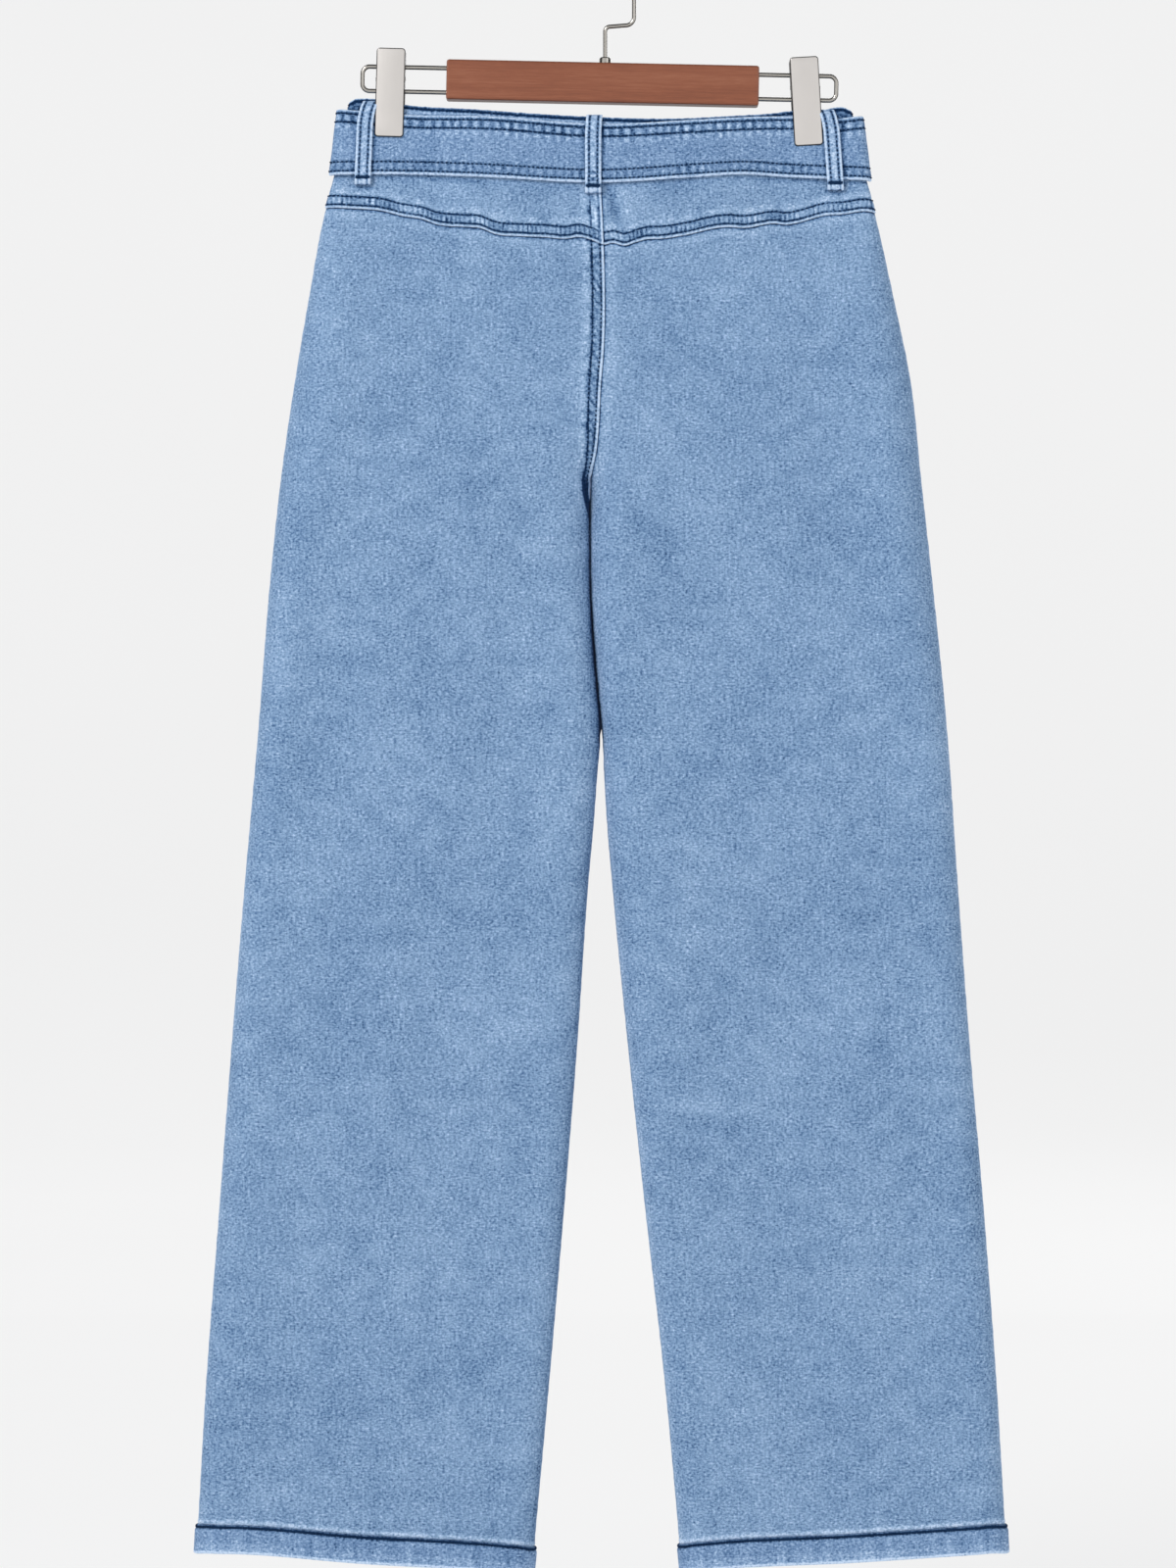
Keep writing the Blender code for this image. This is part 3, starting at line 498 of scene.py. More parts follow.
# --- the pieces of cloth, as grids of points -------------------------------------------

class Cloth:
    """A piece's grid, with how far each point is from its upper and its lower edge."""

    def __init__(self, x, y, z, top, foot):
        self.points = np.stack(np.broadcast_arrays(x, y, z), axis=-1)
        self.x, self.y, self.z = np.moveaxis(self.points, -1, 0)
        self.below_top = top - self.z
        self.above_foot = self.z - foot


def settled(rows, columns, top, foot, x_of, level=None):
    """X, Z, top and foot of a grid whose columns and rows depend on one another."""
    share, offset = rows
    level = level or (lambda x: between(top(x), foot(x), share) + offset)
    z = level(0.0) + np.zeros(columns.shape[1])
    for _ in range(5):
        x = x_of(z)
        z = level(x)
    return x, z, top(x), foot(x)


def half_x(columns, face, side, inset, z):
    """X of the columns of one half of the body."""
    left, right = seam_edges(z, face, inset)
    width = roll(z, face, inset)
    if side == "left":
        return across(columns, BODY["left"](z) + inset, left, width)
    return across(columns, right, BODY["right"](z) - inset, width)


def leg_cloth(face, side, columns, inset, rows):
    """A leg panel.  Rows count 0 to 1 down to the crotch, and 1 to 2 down to the hem."""
    seam = YOKE_SEAM if face == "back" else WAIST_SEAM[face]
    share, offset = rows

    def top(x):
        return seam(x) - GAP / 2

    def foot(x):
        return HEM_FOOT(x) + HEM_HEIGHT

    def level(x):
        upper = between(top(x), CROTCH_Z, np.minimum(share, 1))
        return np.where(share > 1, between(CROTCH_Z, foot(x), share - 1), upper) + offset

    x_of = partial(half_x, columns, face, side, inset)
    x, z, *edges = settled(rows, columns, top, foot, x_of, level)
    return Cloth(x, body_y(x, z, face, side, inset), z, *edges)


def yoke_cloth(side, columns, inset, rows):
    """One half of the back yoke, from the waist seam to the legs."""
    def top(x):
        return WAIST_SEAM["back"](x) - GAP / 2

    def foot(x):
        return YOKE_SEAM(x) + GAP / 2

    x_of = partial(half_x, columns, "back", side, inset)
    x, z, *edges = settled(rows, columns, top, foot, x_of)
    return Cloth(x, body_y(x, z, "back", None, inset), z, *edges)


def waistband_cloth(face, half, columns, inset, rows):
    """The back of the waistband, or a half of its front as far as the fly."""
    def top(x):
        bumps = 0.15 * uneven(x, 8.5, 1.0) + 0.12 * uneven(x, 3.3, 2.0)
        return WAISTBAND_TOP[face](x) + bumps

    def foot(x):
        return WAIST_SEAM[face](x) + GAP / 2

    def x_of(z):
        start = SEAM[face](z) + GAP / 2 if half == "right" else BODY["left"](z) + inset
        end = SEAM[face](z) - GAP / 2 if half == "left" else BODY["right"](z) - inset
        return across(columns, start, end, roll(z, face, inset))

    x, z, *edges = settled(rows, columns, top, foot, x_of)
    return Cloth(x, body_y(x, z, face, None, inset), z, *edges)


def hem_cloth(side, columns, inset, rows):
    """A hem: a ring round the foot of a leg, back first and then front."""
    def top(x):
        return HEM_FOOT(x) + HEM_HEIGHT - GAP

    parts = []
    for face in FACES:
        x_of = partial(half_x, columns, face, side, inset)
        x, z, *edges = settled(rows, columns, top, HEM_FOOT, x_of)
        parts.append([x, body_y(x, z, face, side, inset, join=0.0), z, *edges])
    return Cloth(*(np.concatenate([a, b[:, -2:0:-1]], axis=1) for a, b in zip(*parts)))


def belt_stretch(face, columns, rows, start, end, lift, under=0.0):
    """A stretch of the belt on one face, lifted off the panels."""
    width = BELT_ROLL + lift - BELT_LIFT
    inset = BELT_LIFT - lift

    def sides(z):
        return BELT["left"](z) + inset, BELT["right"](z) - inset

    def x_of(z):
        left, right = sides(z)
        return across(columns, left if start is None else start, right if end is None else end,
                      width)

    x, z, *edges = settled(rows, columns, BELT_TOP[face], BELT_FOOT[face], x_of)
    left, right = sides(z)
    over = under * near(x - BELT_START_X, 2, BELT_RAMP)
    y = FACES[face] * (full_depth(x, z, face) + lift + over)
    return x, y * rounded(np.minimum(x - left, right - x) / width), z, *edges


def belt_cloth(cell, lift, rows):
    """The whole strip: under lap, left side, back, right side and over lap."""
    stretches = (
        belt_stretch("front", stations(190, cell, 12, True, False), rows, None, BELT_START_X, lift),
        belt_stretch("back", stations(360, cell, 12), rows, None, None, lift),
        belt_stretch("front", stations(300, cell, 12, False, True), rows, BELT_END_X, None, lift,
                     BELT_WALL + GAP))
    return Cloth(*(np.concatenate([under[:, ::-1], back[:, 1:], over[:, -2::-1]], axis=1)
                   for under, back, over in zip(*stretches)))


def loop_cloth(loop, aside, share, height):
    """A loop's strip, held off the cloth at its ends and over the belt in between."""
    curl = loop.curl * np.maximum(0, 1 - share / LOOP_CURL) ** 2
    x = between(loop.x_top, loop.x_foot, share) + curl + aside
    z = between(loop.z_top, loop.z_foot, share) + 0 * x
    down = ease((loop.z_top - z) / LOOP_RAMP)
    up = ease((z - loop.z_foot) / LOOP_RAMP)
    belt_height = loop.layers * (BELT_WALL + GAP) + LOOP_SLACK
    lift = WAISTBAND_LIFT + GAP + belt_height * np.minimum(down, up)
    y = FACES[loop.face] * (full_depth(x, z, loop.face) + lift + height)
    return Cloth(x, y, z, loop.z_top, loop.z_foot)


def fly_cloth(share, inset, rows):
    """The flap over the zip, with its rounded foot at the centre front seam."""
    z = between(FLY_TOP_Z, FLY_FOOT_Z, rows) + 0 * share
    for _ in range(5):
        width = FLY_TIP + (FLY_WIDTH - FLY_TIP) * rounded((z - FLY_FOOT_Z) / FLY_CURVE)
        x = SEAM["front"](z) + FLY_LAP - width * (1 - share)
        top = WAIST_SEAM["front"](x) - FLY_TOP_CLEARANCE
        z = between(top, FLY_FOOT_Z, rows)
    rise = (z - CROTCH_Z) / SADDLE_HEIGHT
    away = np.hypot((x - SEAM["front"](z)) / roll(z, "front", 0), rise)
    depth = (full_depth(x, z, "front") - GAP / 2) * rounded(away)
    return Cloth(x, depth + GAP / 2 - inset, z, top, FLY_FOOT_Z)


# --- meshes ----------------------------------------------------------------------------

def linked(name, data):
    """A new object in the scene."""
    piece = bpy.data.objects.new(name, data)
    bpy.context.scene.collection.objects.link(piece)
    return piece


def riding(piece, finish, nodes=()):
    """Gives a finished piece its material, its body and the nodes it stands for."""
    piece.data.materials.clear()
    piece.data.materials.append(finish)
    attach(piece, BODY_NAME)
    if nodes:
        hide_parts(*nodes)
    return piece


def smooth_mesh(name, vertices, faces, sharp_angle):
    """A new mesh that is shaded smooth, but for its sharp edges."""
    mesh = bpy.data.meshes.new(name)
    mesh.from_pydata(vertices, [], faces)
    mesh.shade_smooth()
    mesh.set_sharp_from_angle(angle=radians(sharp_angle))
    return mesh


def mark(mesh, name, values):
    """Gives each point of a mesh a value that its material reads."""
    attribute = mesh.attributes.new(name, "FLOAT", "POINT")
    attribute.data.foreach_set("value", np.asarray(values, np.float32))


def ring_faces(rings, count):
    """Quads between closed rings of points that follow one another."""
    return [(row * count + i, row * count + (i + 1) % count,
             (row + 1) * count + (i + 1) % count, (row + 1) * count + i)
            for row in range(rings - 1) for i in range(count)]


def outward(outer, inner):
    """The direction that a wall's outer face looks in, at each point."""
    away = outer.points - inner.points
    return away / np.linalg.norm(away, axis=-1, keepdims=True)


def laid_flat(grid, ring=False):
    """Where each point lies when the cloth is flat: along its row, and by its height."""
    if ring:
        grid = np.concatenate([grid, grid[:, :1]], axis=1)
    step = np.linalg.norm(np.diff(grid, axis=1), axis=2)
    along = np.concatenate([np.zeros((len(grid), 1)), np.cumsum(step, axis=1)], axis=1)
    middle = grid.shape[1] // 2
    along = along - along[:, middle:middle + 1] + grid[:, middle:middle + 1, 0]
    return np.stack([along, grid[..., 2]], axis=-1)


def wall(name, outer, inner, relief, wear, ring=False):
    """A closed wall of cloth between two grids, with its outer face in relief."""
    rows, columns = outer.x.shape
    wide = columns + ring
    face = outer.points + outward(outer, inner) * relief[..., None]
    out, back = np.arange(2 * rows * wide).reshape(2, rows, wide)

    def quads(*corners):
        return np.stack([corner.ravel() for corner in corners], axis=1)

    def edge(a, b):
        return quads(a[:-1], a[1:], b[1:], b[:-1])

    def far_edge(a, b):
        return quads(a[1:], a[:-1], b[:-1], b[1:])

    parts = [quads(out[:-1, :-1], out[1:, :-1], out[1:, 1:], out[:-1, 1:]),
             quads(back[:-1, :-1], back[:-1, 1:], back[1:, 1:], back[1:, :-1]),
             edge(out[0], back[0]), far_edge(out[-1], back[-1])]
    if not ring:
        parts += [far_edge(out[:, 0], back[:, 0]), edge(out[:, -1], back[:, -1])]
    faces = np.concatenate(parts)
    middle = rows // 2, columns // 4
    down, along = (np.gradient(face, axis=axis)[middle] for axis in (0, 1))
    if np.dot(np.cross(down, along), outward(outer, inner)[middle]) < 0:
        faces = faces[:, ::-1]
    vertices = np.concatenate([face.reshape(-1, 3), inner.points.reshape(-1, 3)]) * MM
    corners = faces // wide * columns + faces % wide % columns
    mesh = bpy.data.meshes.new(name)
    mesh.from_pydata(vertices.tolist(), [], corners.tolist())
    flat = laid_flat(outer.points, ring).reshape(-1, 2) * MM
    layer = mesh.uv_layers.new(name=UV_NAME)
    layer.data.foreach_set("uv", np.concatenate([flat, flat])[faces].ravel())
    # Each point's real wear together with painted shadows, painted shade and painted highlights.
    rubbed = np.broadcast_to(wear, (rows, columns)).ravel()
    mark(mesh, "wear", np.concatenate([rubbed, 0 * rubbed]))
    mark(mesh, "inside", np.concatenate([0 * rubbed, 0 * rubbed + 1]))
    mesh.shade_smooth()
    mesh.set_sharp_from_angle(angle=radians(55))
    return linked(name, mesh)


def soft_edge(distance, radius=1.0, drop=0.6):
    """How far an outer face falls towards its edge, so that the edge is round."""
    return -drop * (1 - rounded(distance / radius))


def path_on(outer, inner, lift=ROW_LIFT, keep=slice(None)):
    """A line of points just off a piece, and the way out of the cloth at each."""
    away = outward(outer, inner)
    return (outer.points + away * lift).reshape(-1, 3)[keep], away.reshape(-1, 3)[keep]


def edge_row(make, insets, share, offset, *how):
    """A row of stitches on a piece, at an offset from its upper or its lower edge."""
    row = np.array((share, offset), float).reshape(2, 1, 1)
    return path_on(*(make(inset, row) for inset in insets), *how)


# --- node trees ------------------------------------------------------------------------

class Value:
    """A socket of a node tree that Python's own signs do sums on."""

    def __init__(self, tree, socket):
        self.tree, self.socket = tree, socket

    def __add__(self, other):
        return self.tree.sums("ADD", self, other)

    def __sub__(self, other):
        return self.tree.sums("SUBTRACT", self, other)

    def __rsub__(self, other):
        return self.tree.sums("SUBTRACT", other, self)

    def __mul__(self, other):
        return self.tree.sums("MULTIPLY", self, other)

    __radd__ = __add__
    __rmul__ = __mul__


class Tree:
    """A node tree of a material or of a modifier, and the ways of adding to it."""

    def __init__(self, tree):
        self.tree = tree

    def add(self, kind, values=(), output=0, stops=None, **settings):
        """Adds a node: its settings first, and then the values or links of its sockets."""
        node = self.tree.nodes.new(kind)
        for name, setting in settings.items():
            setattr(node, name, setting)
        if stops:
            ramp = node.color_ramp.elements
            while len(ramp) < len(stops):
                ramp.new(0.5)
            for element, (place, colour) in zip(ramp, stops):
                element.position = place
                element.color = (*colour, 1.0)
        for key, value in values.items() if isinstance(values, dict) else enumerate(values):
            if isinstance(value, Value):
                self.tree.links.new(value.socket, node.inputs[key])
            else:
                node.inputs[key].default_value = value
        return Value(self, node.outputs[output]) if len(node.outputs) else node

    def sums(self, operation, *values):
        return self.add("ShaderNodeMath", values, operation=operation)

    def stretched(self, vector, sizes):
        """A vector in metres, counted in sizes that are in millimetres."""
        scale = [1 / MM / size if size else 0.0 for size in sizes]
        return self.add("ShaderNodeVectorMath", (vector, scale), operation="MULTIPLY")

    def noise(self, vector, sizes, detail=2.0, rough=0.5):
        """Noise whose spots are of given sizes, less its middle, so that it adds nothing."""
        values = {"Vector": self.stretched(vector, sizes), "Scale": 1.0, "Detail": detail,
                  "Roughness": rough}
        return self.add("ShaderNodeTexNoise", values) - 0.5

    def axes(self, vector):
        """X, Y and Z of a vector."""
        split = self.add("ShaderNodeSeparateXYZ", (vector,)).socket.node
        return [Value(self, socket) for socket in split.outputs]

    def ramp(self, value, *stops):
        return self.add("ShaderNodeValToRGB", (value,), stops=stops)

    def mix(self, factor, *colours):
        """Two colours go through a Mix node."""
        first, second = (each if isinstance(each, Value) else (*each, 1.0) for each in colours)
        return self.add("ShaderNodeMix", {0: factor, 6: first, 7: second}, 2, data_type="RGBA")

    def attribute(self, name):
        return self.add("ShaderNodeAttribute", output="Fac", attribute_name=name)

    def place(self):
        return self.add("ShaderNodeTexCoord", output="Object")


class Finish(Tree):
    """A material, by its main shader."""

    def __init__(self, name, **constants):
        self.material = bpy.data.materials.new(name)
        self.material.use_nodes = True
        super().__init__(self.material.node_tree)
        self.shader = self.tree.nodes["Principled BSDF"]
        for socket, value in constants.items():
            label = socket.replace("_", " ").title().replace("Ior", "IOR")
            self.shader.inputs[label].default_value = value

    def feed(self, **values):
        """Links values to the shader's sockets."""
        for socket, value in values.items():
            self.tree.links.new(value.socket, self.shader.inputs[socket.replace("_", " ")])

    def bump(self, height, distance, strength=1.0):
        """Raises the surface by a height from 0 to 1, over a distance in millimetres."""
        values = {"Height": height, "Distance": distance * MM, "Strength": strength}
        self.feed(Normal=self.add("ShaderNodeBump", values))


def denim_finish(name, cloth, middle):
    """Washed denim: pale and blue flecks, a fine twill, rubbed edges and a paler inside."""
    finish = Finish(name, sheen_weight=0.05, sheen_roughness=0.5, specular_ior_level=0.1)
    flat = finish.add("ShaderNodeUVMap", uv_map=UV_NAME)
    size = cloth.fleck_size / MM
    fleck = finish.noise(flat, (size, size, 0), 3.0, 0.75)
    dash = finish.noise(flat, (1.3 * size, 0.6 * size, 0), 1.0)
    slub = finish.noise(flat, (0.7 * size, 6 * size, 0), 1.0)
    patch = finish.noise(flat, (9 * size, 8 * size, 0))
    cloud = finish.noise(flat, (75, 90, 0), 3.0)
    grain = fleck * 1.52 + dash * 0.8 + slub * 0.3
    tone = grain * cloth.fleck_contrast + patch * 0.3 + cloud * 0.26 + 0.5
    # The attribute holds rubbed pale wear, dark unwashed grooves, painted shadows, painted shade
    # and painted highlights; it moves the tone lighter or darker.
    tone = tone + finish.attribute("wear") * (fleck * 0.3 + 0.5)
    colour = finish.ramp(tone, (0.0, cloth.dark), (0.24, cloth.deep), (0.5, middle),
                         (0.78, cloth.pale), (1.0, cloth.rubbed))
    colour = finish.mix(finish.attribute("inside") * 0.55, colour, cloth.reverse)
    u, v, _ = finish.axes(finish.stretched(flat, (1, 1, 0)))
    turn = (u + v * 0.8) * (2 * pi / (cloth.twill_pitch / MM)) + fleck * 3.0
    twill = finish.sums("SINE", turn)
    finish.feed(Base_Color=colour, Roughness=0.86 - fleck * 0.25)
    finish.bump(twill * 0.22 + fleck * 1.1 + dash * 0.6 + 0.5, cloth.weave_depth / MM)
    return finish.material


def thread_finish(cloth):
    """Navy sewing thread, twisted and a little faded."""
    finish = Finish("navy_thread", specular_ior_level=0.08)
    place = finish.place()
    twist = finish.noise(place, (0.35, 0.35, 0.6), 2.0, 0.6)
    faded = finish.noise(place, (14, 14, 14))
    colour = finish.mix(faded * 1.2 + twist * 0.8 + 0.35, cloth.thread, cloth.thread_faded)
    finish.feed(Base_Color=colour, Roughness=0.7 + twist * 0.3)
    finish.bump(twist + 0.5, 0.15)
    return finish.material


def wood_finish(hanger):
    """Red-brown stained wood under a satin lacquer, with its grain along the bar."""
    finish = Finish("stained_wood", coat_roughness=0.25, specular_ior_level=0.3)
    centred = finish.add("ShaderNodeMapping", {"Vector": finish.place(),
                                               "Location": (-BAR_X * MM, 0, -BAR_Z * MM)})
    along = finish.add("ShaderNodeMapping", {"Vector": centred, "Rotation": (0, -BAR_TILT, 0)})
    figure = finish.noise(along, (160, 9, 9), 4.0, 0.55)
    grain = finish.noise(along, (26, 1.1, 1.1), 4.0, 0.6)
    pore = finish.noise(along, (7, 0.45, 0.45), 2.0, 0.6)
    edge = finish.sums("ABSOLUTE", finish.axes(along)[2]) * (2 / MM / BAR_HEIGHT)
    edge = finish.sums("POWER", edge, 20.0)
    tone = 0.52 + figure * 0.55 + grain * 0.42 + pore * 0.3 - edge * 0.42
    colour = finish.ramp(tone, (0.12, hanger.wood_dark), (0.5, hanger.wood),
                         (0.9, hanger.wood_light))
    finish.feed(Base_Color=colour, Roughness=0.4 - grain * 0.2, Coat_Weight=0.18 + figure * 0.1)
    finish.bump(pore + grain * 0.6 + 0.5, 0.12, 0.6)
    return finish.material


def metal_finish(name, colour, roughness, brush_sizes):
    """Plated metal: brushed along Z, or drawn wire."""
    finish = Finish(name, metallic=1.0)
    place = finish.place()
    brush = finish.noise(place, brush_sizes, 3.0, 0.6)
    smudge = finish.noise(place, (22, 22, 26))
    pale = [min(1.0, part * 1.12) for part in colour]
    plated = finish.mix(smudge * 0.6 + brush * 0.4 + 0.5, colour, pale)
    # Painted dark reflection along each plate's rounded rim.
    colour = finish.mix(finish.attribute("rim"), plated, [part * 0.14 for part in colour])
    finish.feed(Base_Color=colour, Roughness=roughness + brush * 0.12 + smudge * 0.1)
    finish.bump(brush + 0.5, 0.02, 0.5)
    return finish.material


def floor_finish(stage):
    """A plain pale floor that gives a soft light of its own, and is evenly bright with it."""
    finish = Finish("pale_floor", roughness=0.9, specular_ior_level=0.1,
                    emission_color=(*stage.floor, 1.0), emission_strength=stage.floor_glow)
    drift = finish.noise(finish.place(), (900, 900, 900))
    matt = [part * 0.25 for part in stage.floor]
    finish.feed(Base_Color=finish.mix(drift + 0.5, matt, [part * 0.9 for part in matt]))
    return finish.material


def made_once(name, make):
    """A material that several pieces share."""
    return bpy.data.materials.get(name) or make()


def denim_of(cloth, name="washed_denim", middle="blue"):
    return made_once(name, lambda: denim_finish(name, cloth, getattr(cloth, middle)))


def belt_denim_of(cloth):
    return denim_of(cloth, "belt_denim_cloth", "belt_blue")


def steel_of(hanger):
    return made_once("plated_steel", lambda: metal_finish(
        "plated_steel", hanger.steel, 0.24, (1.2, 1.2, 1.2)))


def modifier_tree(name, output, inputs):
    """A new modifier's tree with named inputs, each with its kind and what it is at first."""
    group = bpy.data.node_groups.new(name, "GeometryNodeTree")
    group.is_modifier = True
    for label, kind, *first in inputs:
        socket = group.interface.new_socket(label, in_out="INPUT", socket_type="NodeSocket" + kind)
        if first:
            socket.default_value = first[0]
    group.interface.new_socket(output, in_out="OUTPUT", socket_type="NodeSocketGeometry")
    tree = Tree(group)
    given = group.nodes.new("NodeGroupInput")
    return tree, {socket.name: Value(tree, socket) for socket in given.outputs if socket.name}


def dressed_output(tree, output, geometry, material):
    """Makes what a tree has grown real, smooth and of one material, and gives it out."""
    real = tree.add("GeometryNodeRealizeInstances", (geometry,))
    smooth = tree.add("GeometryNodeSetShadeSmooth", (real,))
    done = tree.add("GeometryNodeSetMaterial", {"Geometry": smooth, "Material": material})
    tree.add("NodeGroupOutput", {output: done})
    return tree.tree


def stitch_tree():
    """Geometry nodes that set stitches along rows: short lengths of thread, a little uneven."""
    tree, value = modifier_tree("sewn_rows", "Stitches", (
        ("Rows", "Geometry"), ("Pitch", "Float", 0.0029), ("Stitch Length", "Float", 0.0024),
        ("Thread Width", "Float", 0.0006), ("Slant", "Float", 0.0), ("Unevenness", "Float", 0.08),
        ("Seed", "Int", 1), ("Thread", "Material")))
    rows = tree.add("GeometryNodeMeshToCurve", {"Mesh": value["Rows"]})
    spaced = tree.add("GeometryNodeResampleCurve", {"Curve": rows, "Length": value["Pitch"]},
                      mode="LENGTH")
    up = tree.add("GeometryNodeInputNamedAttribute", {"Name": "up"}, data_type="FLOAT_VECTOR")
    facing = tree.add("FunctionNodeAxesToRotation",
                      {"Primary Axis": tree.add("GeometryNodeInputTangent"), "Secondary Axis": up},
                      primary_axis="X", secondary_axis="Z")
    least, most = 2, 3
    swing = tree.add("FunctionNodeRandomValue", {
        least: value["Unevenness"] * -1, most: value["Unevenness"], "Seed": value["Seed"]},
        1, data_type="FLOAT")
    turn = tree.add("ShaderNodeCombineXYZ", (0.0, 0.0, swing + value["Slant"]))
    turn = tree.add("FunctionNodeEulerToRotation", (turn,))
    facing = tree.add("FunctionNodeRotateRotation", (facing, turn), rotation_space="LOCAL")
    grain = tree.add("GeometryNodeMeshUVSphere", {"Segments": 8, "Rings": 5, "Radius": 0.5})
    size = tree.add("ShaderNodeCombineXYZ", (value["Stitch Length"], value["Thread Width"],
                                             value["Thread Width"] * 0.8))
    grain = tree.add("GeometryNodeTransform", {"Geometry": grain, "Scale": size})
    stretch = 1 + swing * 0.8
    scale = tree.add("ShaderNodeCombineXYZ", (stretch, 2 - stretch, 1.0))
    laid = tree.add("GeometryNodeInstanceOnPoints",
                    {"Points": spaced, "Instance": grain, "Rotation": facing, "Scale": scale})
    return dressed_output(tree, "Stitches", laid, value["Thread"])


def spring_tree():
    """Geometry nodes that coil a spring round its pin."""
    tree, value = modifier_tree("coiled_spring", "Spring", (
        ("Start", "Geometry"), ("Turns", "Float", 7.0), ("Radius", "Float", 0.0045),
        ("Width", "Float", 0.014), ("Wire", "Float", 0.0009), ("Middle", "Vector"),
        ("Metal", "Material")))
    coil = tree.add("GeometryNodeCurveSpiral", {
        "Resolution": 24, "Rotations": value["Turns"], "Start Radius": value["Radius"],
        "End Radius": value["Radius"], "Height": value["Width"]})
    ring = tree.add("GeometryNodeCurvePrimitiveCircle",
                    {"Resolution": 8, "Radius": value["Wire"]}, mode="RADIUS")
    body = tree.add("GeometryNodeCurveToMesh",
                    {"Curve": coil, "Profile Curve": ring, "Fill Caps": True})
    half = tree.add("ShaderNodeCombineXYZ", (0.0, 0.0, value["Width"] * -0.5))
    body = tree.add("GeometryNodeTransform", {"Geometry": body, "Translation": half})
    body = tree.add("GeometryNodeTransform", {
        "Geometry": body, "Rotation": (0.0, pi / 2, 0.0), "Translation": value["Middle"]})
    return dressed_output(tree, "Spring", body, value["Metal"])


def plain_mesh(piece):
    """The mesh that an object's curve or modifier makes."""
    bpy.context.view_layer.update()
    evaluated = piece.evaluated_get(bpy.context.evaluated_depsgraph_get())
    return bpy.data.meshes.new_from_object(evaluated)


def grown(name, base, tree_name, make_tree, inputs):
    """Runs a modifier's tree on a base mesh and keeps the result as a plain mesh."""
    group = bpy.data.node_groups.get(tree_name) or make_tree()
    piece = linked(name, base)
    modifier = piece.modifiers.new(group.name, "NODES")
    modifier.node_group = group
    for item in group.interface.items_tree:
        if item.name in inputs:
            modifier[item.identifier] = inputs[item.name]
    piece.update_tag()
    mesh = plain_mesh(piece)
    piece.modifiers.remove(modifier)
    piece.data = mesh
    mesh.name = name
    bpy.data.meshes.remove(base)
    return piece


def sewn(name, rows, cloth, width=1.0, slant=0.0, pitch=1.0, seed=1):
    """Stitches along rows on a piece, in one mesh."""
    places, ups = (np.concatenate(part) for part in zip(*rows))
    edges, start = [], 0
    for path, _ in rows:
        edges += [(start + k, start + k + 1) for k in range(len(path) - 1)]
        start += len(path)
    base = bpy.data.meshes.new(name + "_rows")
    base.from_pydata((places * MM).tolist(), edges, [])
    attribute = base.attributes.new("up", "FLOAT_VECTOR", "POINT")
    attribute.data.foreach_set("vector", ups.astype(np.float32).ravel())
    thread = made_once("navy_thread", lambda: thread_finish(cloth))
    piece = grown(name, base, "sewn_rows", stitch_tree, {
        "Pitch": cloth.stitch_pitch * pitch, "Stitch Length": cloth.stitch_length,
        "Thread Width": cloth.thread_width * width, "Slant": slant, "Unevenness": 0.08,
        "Seed": seed, "Thread": thread})
    return riding(piece, thread)


def tube(name, path, radius, finish, node):
    """A bent wire along a path of points, with round ends."""
    curve = bpy.data.curves.new(name, "CURVE")
    curve.dimensions = "3D"
    curve.bevel_depth = radius * MM
    curve.bevel_resolution = 5
    curve.use_fill_caps = True
    spline = curve.splines.new("POLY")
    spline.points.add(len(path) - 1)
    for point, place in zip(spline.points, path):
        point.co = (*(part * MM for part in place), 1.0)
    source = linked(name + "_line", curve)
    mesh = plain_mesh(source)
    bpy.data.objects.remove(source)
    bpy.data.curves.remove(curve)
    mesh.shade_smooth()
    mesh.set_sharp_from_angle(angle=radians(50))
    return riding(linked(name, mesh), finish, [node])


def in_bar(x, z):
    """A point of the tilted bar's own frame, in the whole object's."""
    return (BAR_X + x * cos(BAR_TILT) + z * sin(BAR_TILT), 0.0,
            BAR_Z - x * sin(BAR_TILT) + z * cos(BAR_TILT))


def bend(centre_x, centre_z, radius, start, end, steps):
    """Points of an arc in the plane of the hanger, from one angle to another."""
    angles = [start + (end - start) * step / steps for step in range(steps + 1)]
    return [(centre_x + radius * cos(a), centre_z + radius * sin(a)) for a in angles]


# --- settings --------------------------------------------------------------------------

def colour_field(name, description, *default):
    return FloatVectorProperty(name=name, description=description, default=default,
                               subtype="COLOR", min=0.0, max=1.0)


def number_field(name, description, default, **limits):
    return FloatProperty(name=name, description=description, default=default, min=0.0, **limits)


def length_field(name, description, default):
    return number_field(name, description, default, unit="LENGTH", subtype="DISTANCE")


